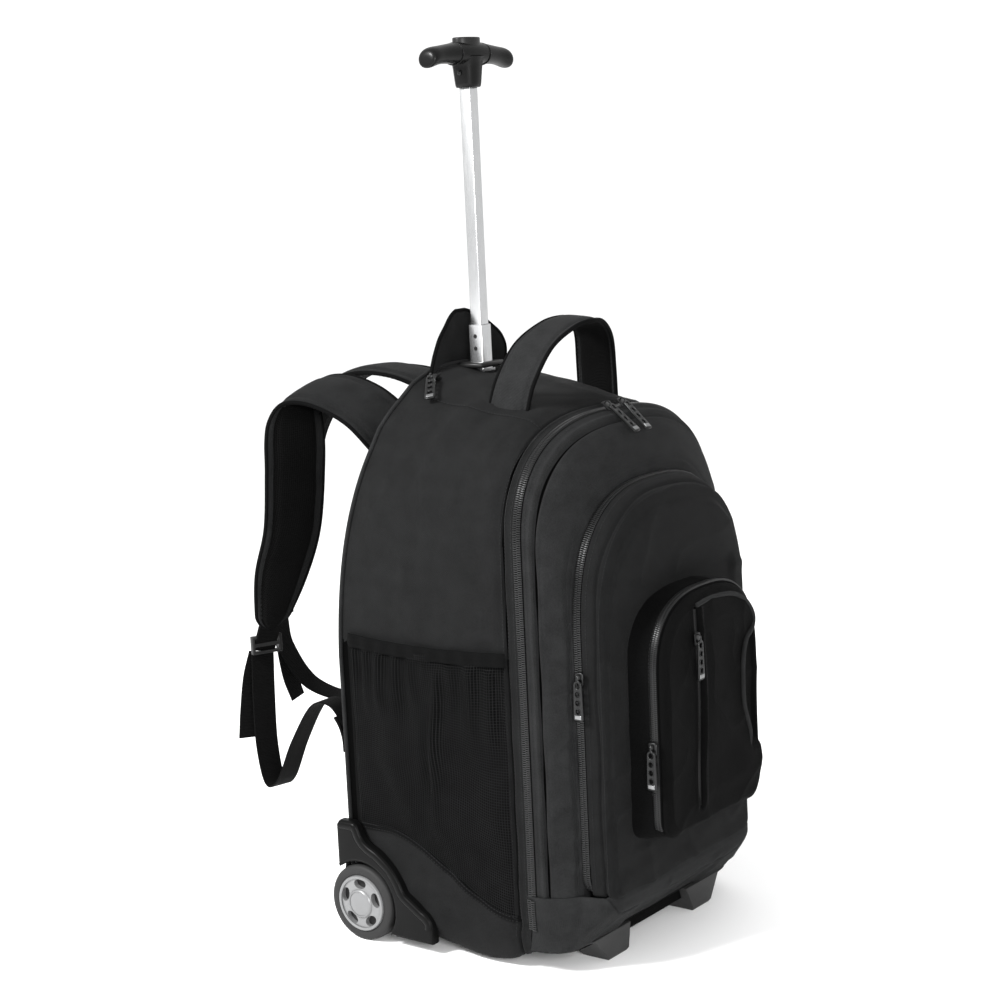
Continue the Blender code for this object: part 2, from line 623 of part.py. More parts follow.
def grip():
    """The T-shaped handle: an arched bar with drooping ends on a square collar."""
    stations = 14
    rings = []
    for k in range(stations + 1):
        share = -1 + 2 * k / stations
        reach = GRIP_HALF * math.sin(0.5 * math.pi * share)
        droop = 0.0085 * abs(share) ** 2.2
        waist = 1 - 0.20 * math.sin(math.pi * min(abs(share), 1.0)) ** 2
        end = math.sqrt(max(1 - max(abs(share) - 0.82, 0) ** 2 / 0.19 ** 2, 0.0))
        deep = 0.0135 * waist * max(end, 0.25)
        tall = 0.0108 * waist * max(end, 0.25)
        middle = GRIP_Z + 0.0035 - droop
        rings.append([(reach, POLE_Y + deep * a, middle + tall * b) for a, b in circle(1.0, 16)])
    bar = loft("grip", rings, PLASTIC)
    facets = ((-1, -0.55), (-0.55, -1), (0.55, -1), (1, -0.55), (1, 0.55), (0.55, 1), (-0.55, 1),
              (-1, 0.55))
    levels = ((0.0098, COLLAR_BOTTOM), (0.0112, COLLAR_BOTTOM + 0.003),
              (0.0125, COLLAR_BOTTOM + 0.018), (0.0125, GRIP_Z))
    rings = [[(x * r, POLE_Y + y * r, z) for x, y in facets] for r, z in levels]
    join(bar, loft("join_collar", rings, PLASTIC))
    reach = 0.5 * INNER_W + GAP
    cut(bar, box("cut_grip_socket", (-reach, POLE_Y - reach, 0.80),
                 (reach, POLE_Y + reach, GRIP_Z - 0.0117), PLASTIC))
    cut(bar, loft("cut_button_seat", button_rings(GAP, GRIP_Z - 0.013, 0.90), PLASTIC))
    return bar


def button_rings(grow, low, high, crown=0.0):
    rings = []
    for share, z in ((1.0, low), (1.0, high - crown), (0.82, high)):
        rings.append([((0.0105 * share + grow) * a, POLE_Y + (0.0062 * share + grow) * b, z)
                      for a, b in circle(1.0, 16)])
    return rings[:2] if not crown else rings


def grip_button():
    button = loft("grip_button", button_rings(0.0, GRIP_Z + 0.0010, GRIP_Z + 0.0185, 0.0015), PLASTIC_GREY)
    rod = rod_z("release_rod", 0.0030, INNER_BOTTOM + 0.003, GRIP_Z - 0.0002, 0.0, POLE_Y, STEEL, 10)
    return [button, rod]


# ---------------------------------------------------------------- front panel, compartment and pouch

LID_STATIONS = [(LID_BACK, 0.1550, LID_BOTTOM, 0.400, 0.513),
                (-0.2150, 0.1535, LID_BOTTOM, 0.388, 0.505),
                (-0.2260, 0.1455, LID_BOTTOM, 0.366, 0.489),
                (-0.2345, 0.1380, 0.0740, 0.342, 0.471), (LID_FRONT, 0.1310, 0.0760, 0.322, 0.456)]
COMP_STATIONS = [(COMP_BACK, 0.1300, 0.0755, 0.318, 0.451), (-0.2580, 0.1285, 0.0760, 0.314, 0.447),
                 (-0.2655, 0.1240, 0.0780, 0.306, 0.438), (COMP_FRONT, 0.1160, 0.0830, 0.294, 0.425)]
POUCH = (0.0855, 0.1250, 0.276, 0.350)
POUCH_STATIONS = [(POUCH_BACK, 0.0925, 0.1220, 0.278, 0.352), (-0.2850, 0.0875, 0.1240, 0.277, 0.351),
                  (POUCH_ZIP, *POUCH), (-0.3030, 0.0840, 0.1260, 0.274, 0.348),
                  (POUCH_FRONT, 0.0780, 0.1320, 0.268, 0.340)]


def dish(name, stations, wall, finish):
    """A hollow panel, open towards the back."""
    shell = loft(name, dish_rings(stations, 0.0), finish)
    inner = [(y + wall, *rest) for y, *rest in stations]
    inner[0] = (stations[0][0] + 0.02, *stations[0][1:])
    cut(shell, loft(f"cut_{name}", dish_rings(inner, wall), finish))
    return shell


def chain(name, y, outline, foot, rise=CHAIN_RISE):
    """A zip chain: a thin band that follows an arch from one foot over the top to the other."""
    half = outline[0:len(outline) // 2 + 1]
    half = [(x, z) for x, z in half if z > foot]
    half.insert(0, (half[0][0], foot))
    open_arch = half + [(-x, z) for x, z in reversed(half[:-1])]
    rings = []
    for k, (x, z) in enumerate(open_arch):
        before = Vector(open_arch[max(k - 1, 0)])
        after = Vector(open_arch[min(k + 1, len(open_arch) - 1)])
        along = (after - before).normalized()
        out = Vector((along.y, -along.x))
        outer = Vector((x, z)) + out * rise
        inner = Vector((x, z)) - out * (CHAIN_DEPTH - rise)
        rings.append([(outer.x, y, outer.y), (outer.x, y + CHAIN, outer.y),
                      (inner.x, y + CHAIN, inner.y), (inner.x, y, inner.y)])
    return loft(name, rings, GUNMETAL, False)


def front_layers():
    lid = dish("front_panel", LID_STATIONS, 0.003, FABRIC)
    comp = dish("front_compartment", COMP_STATIONS, 0.0025, FABRIC)
    pouch = dish("small_pouch", POUCH_STATIONS, 0.0025, FABRIC)
    return [lid, comp, pouch]


def chains():
    tub_arch = arch(TUB_HALF, TUB_BOTTOM, ARCH_SHOULDER, ARCH_TOP)
    comp_arch = arch(*COMP_STATIONS[0][1:])
    pouch_arch = arch(*POUCH)
    return [
        chain("main_zip_rear_half", TUB_FRONT - GAP - CHAIN, tub_arch, 0.0735),
        chain("main_zip_front_half", TUB_FRONT - 2 * GAP - 2 * CHAIN, tub_arch, 0.0735),
        chain("compartment_zip_rear_half", LID_FRONT - GAP - CHAIN, comp_arch, 0.110),
        chain("compartment_zip_front_half", LID_FRONT - 2 * GAP - 2 * CHAIN, comp_arch, 0.110),
        chain("pouch_zip_chain", POUCH_ZIP - CHAIN, pouch_arch, 0.135, rise=CHAIN_DEPTH + GAP),
    ]


def slider(name, place, turn):
    """A zip slider; turn carries its own axes (X across, Y outward, Z along the track) to the bag's."""
    body = box(name, (-0.0046, -0.0036, -0.0055), (0.0046, 0.0, 0.0055), GUNMETAL, 0.0008)
    body.data.transform(Matrix.Translation(place) @ turn)
    return body


def pull(name, place, turn, length=0.038):
    """A flat puller with four holes, hanging along its own -Z from a pivot at its top."""
    half = 0.0052
    outline = [(half * a, -half + half * b) for a, b in circle(1.0, 12, math.pi / 12) if b > 0]
    outline += [(half * a, -length + half + half * b) for a, b in circle(1.0, 12, math.pi / 12) if b < 0]
    plate = loft(name, [[(x, y, z) for x, z in outline] for y in (-0.0022, 0.0)], GUNMETAL, False)
    cutters = []
    for k in range(4):
        z = -0.0050 - k * (length - 0.014) / 3
        cutters.append(rod_y(f"cut_{name}_{k}", 0.0024, -0.01, 0.01, 0.0, z, GUNMETAL, 8))
        cut(plate, cutters[-1])
    for thing in (plate, *cutters):
        thing.data.transform(Matrix.Translation(place) @ turn)
    return plate


def facing(outward, down):
    """Axes for a slider or pull: its face points outward (own -Y) and it hangs along down (own -Z)."""
    y = -Vector(outward).normalized()
    z = -Vector(down).normalized()
    z = (z - y * y.dot(z)).normalized()
    x = y.cross(z)
    return Matrix((x, y, z)).transposed().to_4x4()


SLIDERS = {
    "main_zip_left": ((-0.0130, -0.2060, 0.5152), (0, -0.66, 0.75), (0.08, -0.75, -0.66)),
    "main_zip_right": ((0.0120, -0.2060, 0.5152), (0, -0.66, 0.75), (-0.08, -0.75, -0.66)),
    "compartment_zip": ((-0.1318, -0.2475, 0.2850), (-1, 0, 0), (0, 0, -1)),
    "pouch_zip": ((-0.0892, -0.2960, 0.2150), (-1, 0, 0), (0, 0, -1)),
    "slit_zip": ((-0.0360, -0.3102, 0.3080), (0, -1, 0), (0, 0, -1)),
    "hood_zip": ((-0.0660, -0.0400, 0.5425), (-0.5, -0.1, 0.86), (-0.60, -0.45, -0.50)),
}


def pin_place(name):
    """The pin of a slider, which its pull turns about: on the slider's outer face."""
    place, outward, down = SLIDERS[name]
    return Vector(place) + Vector(outward).normalized() * 0.0042 + Vector(down).normalized() * 0.0005


def zip_hardware():
    for name, (place, outward, down) in SLIDERS.items():
        turn = facing(outward, down)
        slider(f"{name}_slider", place, turn)
        pull(f"{name}_pull", pin_place(name), turn)


# ---------------------------------------------------------------- assembly

def pivot(name, place, parent):
    """An empty on a joint's axis, placed in bag coordinates under its parent empty."""
    empty = bpy.data.objects.new(name, None)
    empty.empty_display_size = 0.02
    bpy.context.scene.collection.objects.link(empty)
    empty["bag_place"] = tuple(place)
    empty.parent = parent
    base = Vector(parent["bag_place"]) if parent else Vector((0.0, -FRAME_Y, 0.0))
    empty.location = Vector(place) - base
    return empty


def with_cutters(thing):
    """A piece and every cutter behind its Booleans."""
    found = [thing]
    for modifier in thing.modifiers:
        if modifier.type == "BOOLEAN":
            found += with_cutters(modifier.object)
    return found


def hang(names, empty):
    """Parents pieces and their cutters to an empty, which they then turn or slide with."""
    for name in names:
        for thing in with_cutters(bpy.data.objects[name]):
            thing.data.transform(Matrix.Translation(-Vector(empty["bag_place"])))
            thing.parent = empty


def assemble():
    """One empty for each joint, on its axis, with the pieces that move about it."""
    frame = pivot("bag_frame", (0.0, 0.0, 0.0), None)
    for side, word in ((-1, "left"), (1, "right")):
        axis = pivot(f"{word}_wheel_axis", (side * 0.5 * (WHEEL_IN + WHEEL_OUT), 0.0, WHEEL_R), frame)
        hang((f"wheel_hub_{word}", f"tyre_{word}", f"wheel_bush_{word}", f"hub_cap_{word}"), axis)
    middle = pivot("middle_tube_way", (0.0, POLE_Y, MIDDLE_BOTTOM), frame)
    hang(("middle_tube", "middle_tube_plug"), middle)
    inner = pivot("inner_tube_way", (0.0, POLE_Y, INNER_BOTTOM), middle)
    hang(("inner_tube", "inner_tube_plug", "grip", "grip_screw"), inner)
    hang(("grip_button", "release_rod"), pivot("button_way", (0.0, POLE_Y, GRIP_Z), inner))
    hang(("pole_hood",), pivot("hood_hinge", HOOD_HINGE, frame))
    lid = pivot("front_panel_hinge", LID_HINGE, frame)
    hang(("front_panel", "main_zip_front_half", "compartment_zip_rear_half"), lid)
    hang(("main_zip_left_slider", "main_zip_right_slider"), lid)
    comp = pivot("front_compartment_hinge", COMP_HINGE, lid)
    hang(("front_compartment", "compartment_zip_front_half", "small_pouch", "pouch_zip_chain"), comp)
    for name, (place, _, _) in SLIDERS.items():
        carrier = frame if name == "hood_zip" else lid
        if name in ("compartment_zip", "pouch_zip", "slit_zip"):
            carrier = pivot(f"{name}_way", place, comp)
            hang((f"{name}_slider",), carrier)
        hang((f"{name}_pull",), pivot(f"{name}_pin", pin_place(name), carrier))
    loose = {thing.name for thing in bpy.data.objects if thing.type == "MESH" and not thing.parent}
    used = {cutter.name for name in loose for cutter in with_cutters(bpy.data.objects[name])[1:]}
    hang(sorted(loose - used), frame)


def build():
    clear_scene()
    main_shell()
    front_base_band()
    boards()
    for side, word in ((-1, "left"), (1, "right")):
        mesh_pocket(side, word)
        wheel_guard(side, word)
        wheel(side, word)
    grab_handle()
    hood()
    shoulder_straps()
    axle_set()
    front_foot()
    pole()
    grip()
    grip_button()
    screw("grip_screw", (-0.0128, POLE_Y, 0.8330), 0.0024, 0.0012, (-1, 0, 0))
    front_layers()
    chains()
    zip_hardware()
    assemble()


build()
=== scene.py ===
"""Looks of the rolling laptop backpack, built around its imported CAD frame.

Shapes are written in bag coordinates: the wheel axle lies in the plane Y = 0, the floor is Z = 0 and
the front of the bag faces -Y. make() moves them into the object's frame by BAG_Y.
"""

import contextlib
import math

import bmesh
import bpy
import numpy as np
from mathutils import Matrix, Vector, noise


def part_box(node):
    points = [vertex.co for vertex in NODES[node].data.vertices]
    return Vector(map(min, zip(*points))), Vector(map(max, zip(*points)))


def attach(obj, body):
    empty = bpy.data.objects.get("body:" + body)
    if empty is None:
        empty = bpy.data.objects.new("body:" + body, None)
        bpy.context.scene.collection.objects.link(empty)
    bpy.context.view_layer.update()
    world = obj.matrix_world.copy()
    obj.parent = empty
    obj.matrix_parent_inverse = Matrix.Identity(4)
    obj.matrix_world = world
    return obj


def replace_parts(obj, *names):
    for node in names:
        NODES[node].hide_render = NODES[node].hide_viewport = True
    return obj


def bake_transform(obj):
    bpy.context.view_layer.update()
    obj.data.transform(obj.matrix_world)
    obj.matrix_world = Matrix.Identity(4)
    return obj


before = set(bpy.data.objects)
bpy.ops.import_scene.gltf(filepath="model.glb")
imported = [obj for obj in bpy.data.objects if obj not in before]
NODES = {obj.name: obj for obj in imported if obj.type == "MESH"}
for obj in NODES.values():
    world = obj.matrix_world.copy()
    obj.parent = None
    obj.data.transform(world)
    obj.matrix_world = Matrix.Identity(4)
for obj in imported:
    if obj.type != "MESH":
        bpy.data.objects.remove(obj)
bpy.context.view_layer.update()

BAG_Y = 0.0428
SIDES = ((-1, "left"), (1, "right"))

# Tub
TUB_FRONT = -0.1955
BACK_BOTTOM, BACK_SHOULDER, BACK_TOP = 0.020, 0.300, 0.553
SKIN = 0.0028            # thickness of the bag's padded fabric walls
ZIP_STRIP = 0.0125       # width of the fabric strip beside the main zip
CHAIN = 0.0037           # half a zip chain's width
GAP = 0.0003
TUB_DEPTH = 0.2235       # from the tub's front rim to its back edge, at its foot
TOP_SEAM_X = 0.0850
STITCH_LIFT = 0.0002

# Wheels
WHEEL_R = 0.038
WELL_R = 0.0425
DRUM_R = 0.0458
GUARD_PLATE, GUARD_OUT = 0.1578, 0.1680
GUARD_BACK, GUARD_FOOT = 0.0265, 0.0120

# Pole
POLE_Y = -0.0500
GRIP_Z, GRIP_HALF = 0.8480, 0.0635
COLLAR_BOTTOM = 0.8190

LID_BACK, LID_FRONT, LID_BOTTOM = -0.2043, -0.2400, 0.0735
LID = ((LID_BACK, 0.1550, LID_BOTTOM, 0.400, 0.513), (-0.2150, 0.1535, LID_BOTTOM, 0.388, 0.505),
       (-0.2260, 0.1455, LID_BOTTOM, 0.366, 0.489), (-0.2345, 0.1380, 0.0735, 0.342, 0.471),
       (LID_FRONT, 0.1310, 0.0735, 0.322, 0.456))
LID_STEP = 0.0107        # from the lid's first station to its second
COMP = ((-0.2487, 0.1300, 0.0740, 0.318, 0.451), (-0.2580, 0.1285, 0.0740, 0.314, 0.447),
        (-0.2655, 0.1240, 0.0750, 0.306, 0.438), (-0.2700, 0.1160, 0.0780, 0.294, 0.425))
POUCH = ((-0.2704, 0.0925, 0.1220, 0.278, 0.352), (-0.2850, 0.0875, 0.1240, 0.277, 0.351),
         (-0.2940, 0.0855, 0.1250, 0.276, 0.350), (-0.3030, 0.0840, 0.1260, 0.274, 0.348),
         (-0.3080, 0.0780, 0.1320, 0.268, 0.340))


# ---------------------------------------------------------------- curves and surfaces

def mix(a, b, share):
    return a + (b - a) * share


def ease(low, high, value):
    """0 below low, 1 above high and a smooth step between them."""
    share = np.clip((value - low) / (high - low), 0.0, 1.0)
    return share * share * (3 - 2 * share)


def bell(value, middle, width):
    return np.exp(-((value - middle) / width) ** 2)


def spline(rows, count):
    """count points along a smooth curve through the rows, evenly spread over its length."""
    rows = np.array(rows, float)
    ends = np.vstack([2 * rows[0] - rows[1], rows, 2 * rows[-1] - rows[-2]])
    fine = []
    for k in range(1, len(ends) - 2):
        a, b, c, d = ends[k - 1:k + 3]
        for t in np.arange(0, 1, 0.02):
            fine.append(0.5 * (2 * b + (c - a) * t + (2 * a - 5 * b + 4 * c - d) * t ** 2
                               + (3 * b - a - 3 * c + d) * t ** 3))
    fine = np.array(fine + [rows[-1]])
    return spread(fine, count)


def spread(line, count):
    """count points evenly spread over a polyline; its first three columns are its place."""
    run = np.concatenate([[0], np.cumsum(np.linalg.norm(np.diff(line[:, :3], axis=0), axis=1))])
    wanted = np.linspace(0, run[-1], count)
    return np.stack([np.interp(wanted, run, column) for column in line.T], axis=1)


def joined(*parts):
    """Points from their coordinates, each an array or one value for all."""
    return np.stack(np.broadcast_arrays(*parts), -1)


def around(count):
    """Angles of a full turn."""
    return np.linspace(0, 2 * np.pi, count, endpoint=False)


def unit(rows):
    """Vectors along the last axis, made one long."""
    return rows / np.maximum(np.linalg.norm(rows, axis=-1, keepdims=True), 1e-12)


def length_of(line):
    return float(np.linalg.norm(np.diff(line[:, :3], axis=0), axis=1).sum())


def table(stations, v):
    """Smooth values of each column of the stations at v from 0 to 1."""
    rows = np.array(stations, float)
    place = np.clip(v, 0, 1) * (len(rows) - 1)
    k = np.minimum(place.astype(int), len(rows) - 2)
    t = (place - k)[..., None]
    ends = np.vstack([2 * rows[0] - rows[1], rows, 2 * rows[-1] - rows[-2]])
    a, b, c, d = (ends[k + step] for step in range(4))
    made = 0.5 * (2 * b + (c - a) * t + (2 * a - 5 * b + 4 * c - d) * t ** 2
                  + (3 * b - a - 3 * c + d) * t ** 3)
    return np.moveaxis(made, -1, 0)


def arch(u, half, bottom, shoulder, top, corner=0.022):
    """(x, z) of an arched outline at u: 0 is the middle of its foot, 0.25 its +X side, 0.5 its top."""
    t = 1 - np.abs(2 * u - 1)
    side = np.where(u <= 0.5, 1.0, -1.0)
    foot, bend, wall, power = 0.18, 0.23, 0.66, 2.6
    a = np.clip(t / foot, 0, 1)
    b = np.clip((t - foot) / (bend - foot), 0, 1)
    c = np.clip((t - bend) / (wall - bend), 0, 1)
    d = np.clip((t - wall) / (1 - wall), 0, 1)
    turn = np.radians(-90 + 90 * b)
    x = np.where(t < foot, (half - corner) * a, half - corner + corner * np.cos(turn))
    z = bottom + corner + corner * np.sin(turn)
    z = np.where(t > bend, mix(bottom + corner, shoulder, c), z)
    angle = 0.5 * np.pi * d
    x = np.where(t > wall, half * np.maximum(np.cos(angle), 0) ** (2 / power), x)
    z = np.where(t > wall, shoulder + (top - shoulder) * np.sin(angle) ** (2 / power), z)
    return side * x, z


def outward(x, z):
    """Unit normals, in the outline's own plane, of outlines that run along the last axis."""
    along = np.stack([np.roll(x, -1, -1) - np.roll(x, 1, -1), np.roll(z, -1, -1) - np.roll(z, 1, -1)])
    along /= np.maximum(np.linalg.norm(along, axis=0), 1e-9)
    return along[1], -along[0]


def back_y(z):
    """The back of the bag is upright low down and leans forward towards its top."""
    share = np.clip((z - 0.280) / (BACK_TOP - 0.280), 0, 1)
    return 0.028 - 0.050 * share ** 1.5


def ripples(points, size, amount, seed):
    """Smooth random heights over an array of points; size is a length, or one for each axis."""
    scale = Vector((size, size, size)) if isinstance(size, float) else Vector(size)
    flat = points.reshape(-1, 3)
    made = [noise.noise(Vector((p[0] / scale.x + seed, p[1] / scale.y, p[2] / scale.z - seed)))
            for p in flat]
    return amount * np.array(made).reshape(points.shape[:-1])


def folds(points, size, amount, seed):
    """Narrow raised creases that wander over an array of points."""
    return amount * np.maximum(0, 1 - 3.2 * np.abs(ripples(points, size, 1.0, seed))) ** 2


# ---------------------------------------------------------------- meshes

FINISHES = {}


def linked(name, data):
    """A new object of the scene."""
    made = bpy.data.objects.new(name, data)
    bpy.context.scene.collection.objects.link(made)
    return made


def placed(name, mesh, body, sharp=None):
    """A piece of a mesh, riding its body; edges above the sharp angle stay hard in smooth shading."""
    if sharp is not None:
        mesh.shade_smooth()
        mesh.set_sharp_from_angle(angle=math.radians(sharp))
    piece = linked(name, mesh)
    if body:
        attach(piece, body)
    return piece


def refinish(mesh, finish):
    mesh.materials.clear()
    mesh.materials.append(FINISHES[finish])


@contextlib.contextmanager
def editing(mesh, merge=1e-6):
    """The mesh as a bmesh with doubled points merged, written back afterwards."""
    work = bmesh.new()
    work.from_mesh(mesh)
    bmesh.ops.remove_doubles(work, verts=work.verts, dist=merge)
    yield work
    work.to_mesh(mesh)
    work.free()


def evaluated(holder):
    """A new mesh of an object with its bevel or its modifiers worked out."""
    bpy.context.view_layer.update()
    graph = bpy.context.evaluated_depsgraph_get()
    return bpy.data.meshes.new_from_object(holder.evaluated_get(graph))


def make(name, points, faces, finish, body, smooth=True, lay=None, marks=None, flip=None):
    """A piece from points in bag coordinates; marks gives each face's material when there are several."""
    mesh = bpy.data.meshes.new(name)
    points = np.asarray(points, float) + (0, BAG_Y, 0)
    mesh.from_pydata(points.tolist(), [], [tuple(face) for face in faces])
    for each in [finish] if isinstance(finish, str) else finish:
        mesh.materials.append(FINISHES[each])
    if marks is not None:
        mesh.polygons.foreach_set("material_index", np.asarray(marks, np.int32))
    if lay is not None:
        attribute = mesh.attributes.new("lay", "FLOAT_VECTOR", "POINT")
        flat = np.zeros((len(points), 3), np.float32)
        flat[:, :2] = lay
        attribute.data.foreach_set("vector", flat.ravel())
    with editing(mesh) as work:
        if flip is None:
            bmesh.ops.recalc_face_normals(work, faces=work.faces)
        elif flip:
            bmesh.ops.reverse_faces(work, faces=work.faces)
    return placed(name, mesh, body, 50 if smooth else None)


def grid_faces(rows, columns, wrap=False, first=0):
    across = columns if wrap else columns - 1
    i, j = np.meshgrid(np.arange(across), np.arange(rows - 1))
    a = first + j * columns + i
    b = first + j * columns + (i + 1) % columns
    return np.stack([a, b, b + columns, a + columns], -1).reshape(-1, 4)


def grid_normals(grid, wrap):
    if wrap:
        du = np.roll(grid, -1, 1) - np.roll(grid, 1, 1)
    else:
        du = np.gradient(grid, axis=1)
    normal = np.cross(du, np.gradient(grid, axis=0))
    size = np.linalg.norm(normal, axis=2, keepdims=True)
    normal = normal / np.maximum(size, 1e-12)
    for row in range(1, len(grid)):
        if size[row].max() < 1e-9:
            normal[row] = normal[row - 1].mean(0)
    return normal


def grid_lay(grid):
    """How far each point lies along and across its cloth."""
    across = np.linalg.norm(np.diff(grid, axis=1), axis=2).cumsum(1)
    along = np.linalg.norm(np.diff(grid, axis=0), axis=2).cumsum(0)
    across = np.hstack([np.zeros((len(grid), 1)), across])
    along = np.vstack([np.zeros((1, grid.shape[1])), along])
    return np.stack([across, along], -1).reshape(-1, 2)


def shell(name, grid, thick, finish, body, wrap=False, inner=None):
    """A fabric wall of one thickness below a grid of points."""
    return wall(name, grid, grid - grid_normals(grid, wrap) * thick, finish, body, wrap, inner)


def wall(name, grid, under, finish, body, wrap=False, inner=None):
    """A fabric wall: a grid of points with another grid below it, closed round its free edges."""
    rows, columns = grid.shape[:2]
    count = rows * columns
    faces = [grid_faces(rows, columns, wrap), grid_faces(rows, columns, wrap, count)[:, ::-1]]
    marks = [np.zeros(len(faces[0])), np.full(len(faces[1]), 1 if inner else 0)]
    index = np.arange(count).reshape(rows, columns)
    edges = [index[0], index[-1][::-1]]
    if wrap:
        edges = [np.append(edge, edge[0]) for edge in edges]
    else:
        edges += [index[::-1, 0], index[:, -1]]
    for edge in edges:
        side = np.stack([edge[:-1], edge[:-1] + count, edge[1:] + count, edge[1:]], -1)
        faces.append(side)
        marks.append(np.zeros(len(side)))
    lay = np.vstack([grid_lay(grid)] * 2)
    finishes = [finish, inner] if inner else finish
    return make(name, np.vstack([grid.reshape(-1, 3), under.reshape(-1, 3)]), np.vstack(faces),
                finishes, body, lay=lay, marks=np.concatenate(marks) if inner else None)


def frames(line, up):
    """Along, up and side directions at each point of a line; up is one direction or one a point."""
    along = unit(np.gradient(line[:, :3], axis=0))
    up = np.broadcast_to(np.asarray(up, float), along.shape)
    side = unit(np.cross(along, up))
    return along, np.cross(side, along), side


def end_caps(rows, columns):
    """The two faces that close a tube's first and last rows of points."""
    return [list(range(columns))[::-1], list(range((rows - 1) * columns, rows * columns))]


def sweep(name, line, up, profile, finish, body):
    """A profile of (side, up) points carried along a line, closed at both ends."""
    line = np.asarray(line, float)
    profile = np.asarray(profile, float)
    _, above, side = frames(line, up)
    grid = line[:, None, :3] + side[:, None] * profile[:, :1] + above[:, None] * profile[:, 1:]
    rows, columns = grid.shape[:2]
    faces = grid_faces(rows, columns, True).tolist() + end_caps(rows, columns)
    return make(name, grid.reshape(-1, 3), faces, finish, body, lay=grid_lay(grid))


def respace(line, up, count):
    """count points evenly spread along a line, and the up direction at each."""
    line = np.asarray(line, float)[:, :3]
    up = np.broadcast_to(np.asarray(up, float), line.shape)
    made = spread(np.hstack([line, up]), count)
    return made[:, :3], made[:, 3:]


def round_profile(width, height, count=10):
    turns = around(count)
    return np.stack([0.5 * width * np.cos(turns), 0.5 * height * np.sin(turns)], -1)


def piping(name, line, up, width, body, finish="piping"):
    sweep(name, line, up, round_profile(width, width, 8), finish, body)


def stitches(name, line, up, body, pitch=0.0034, length=0.0023):
    """A row of thread stitches, each a small rounded bar that lies on the cloth."""
    width = 0.0007
    line, up = respace(line, up, max(int(length_of(np.asarray(line, float)) / pitch), 2))
    along, above, side = frames(line, up)
    shape = [(a, b, h) for a, h, share in ((-1, 0, 0.5), (-0.5, 0.35, 1), (0.5, 0.35, 1), (1, 0, 0.5))
             for b in (-share, share)]
    points, faces = [], []
    for k in range(len(line)):
        first = len(points)
        for a, b, h in shape:
            points.append(line[k] + along[k] * a * 0.5 * length + side[k] * b * 0.5 * width
                          + above[k] * h * width * 1.4)
        for step in range(0, 6, 2):
            faces.append((first + step, first + step + 1, first + step + 3, first + step + 2))
    return make(name, points, faces, "thread", body, smooth=False, flip=False)


def on_skin(skin, u, v):
    """Points and normals of a surface along a path of (u, v)."""
    step = 1e-4
    du = skin(u + step, v) - skin(u - step, v)
    dv = skin(u, v + step) - skin(u, v - step)
    return skin(u, v), unit(np.cross(du, dv))


def chain(name, line, up, body, node, offset=0.0, pitch=0.0021):
    """Half a zip chain along a line: a row of teeth on the edge of its tape."""
    count = int(length_of(line) / pitch)
    line, up = respace(line, up, count + 1)
    along, above, side = frames(line, up)
    line = line + along * pitch * offset
    points, faces = [], []
    low, high, mid = -0.0006, 0.0013, 0.0008
    half, wide = 0.36 * pitch, 0.5 * CHAIN
    section = [(-wide * 1.16, low, 1.0), (wide * 1.1, low, 1.0), (wide * 1.16, mid, 0.9),
               (wide * 0.5, high, 0.7), (-wide * 0.5, high, 0.7), (-wide * 1.2, mid, 0.9)]
    ring = len(section)
    for k in range(count):
        first = len(points)
        for sign in (-1, 1):
            for across, up_by, share in section:
                points.append(line[k] + along[k] * sign * half * share + side[k] * across
                              + above[k] * up_by)
        faces += [[first + a, first + (a + 1) % ring, first + ring + (a + 1) % ring, first + ring + a]
                  for a in range(ring)]
        faces += [[first + a for a in range(ring)], [first + ring + a for a in range(ring)][::-1]]
    piece = make(name, points, faces, "zip_teeth", body, smooth=False)
    if node:
        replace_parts(piece, node)
    return piece


def plate(name, outlines, low, high, place, body, finish, round_over, resolution=3):
    """A flat part of one outline and its holes, with rounded edges. place carries its own axes to the
    bag's; the outlines lie in its XY plane and it runs from low to high along its Z."""
    curve = bpy.data.curves.new(name, "CURVE")
    curve.dimensions = "2D"
    curve.fill_mode = "BOTH"
    curve.extrude = max(0.5 * (high - low) - round_over, 1e-5)
    curve.bevel_depth = round_over
    curve.bevel_resolution = resolution
    curve.offset = -round_over
    for outline in outlines:
        line = curve.splines.new("POLY")
        line.points.add(len(outline) - 1)
        for point, (x, y) in zip(line.points, outline):
            point.co = (x, y, 0, 1)
        line.use_cyclic_u = True
    holder = linked(name + "_curve", curve)
    mesh = evaluated(holder)
    bpy.data.objects.remove(holder, do_unlink=True)
    bpy.data.curves.remove(curve)
    mesh.name = name
    with editing(mesh) as work:
        bmesh.ops.recalc_face_normals(work, faces=work.faces)
    middle = Matrix.Translation((0, 0, 0.5 * (low + high)))
    mesh.transform(Matrix.Translation((0, BAG_Y, 0)) @ place @ middle)
    if place.to_3x3().determinant() < 0:
        mesh.flip_normals()
    refinish(mesh, finish)
    return placed(name, mesh, body, 40)


def rounded_copy(node, width, finish, body):
    """A CAD node with its hard edges rounded over, which stands for the node."""
    mesh = NODES[node].data.copy()
    name = mesh.name = node + "_finished"
    mesh.transform(NODES[node].matrix_world)
    with editing(mesh, 2e-6) as work:
        bmesh.ops.dissolve_limit(work, angle_limit=math.radians(1), verts=work.verts, edges=work.edges)
        sharp = [edge for edge in work.edges
                 if len(edge.link_faces) == 2 and edge.calc_face_angle(0) > math.radians(40)]
        bmesh.ops.bevel(work, geom=sharp, offset=width, segments=3, profile=0.5, affect="EDGES",
                        clamp_overlap=True)
        bmesh.ops.recalc_face_normals(work, faces=work.faces)
    refinish(mesh, finish)
    mesh.polygons.foreach_set("material_index", np.zeros(len(mesh.polygons), np.int32))
    piece = placed(name, mesh, body, 42)
    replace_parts(piece, node)


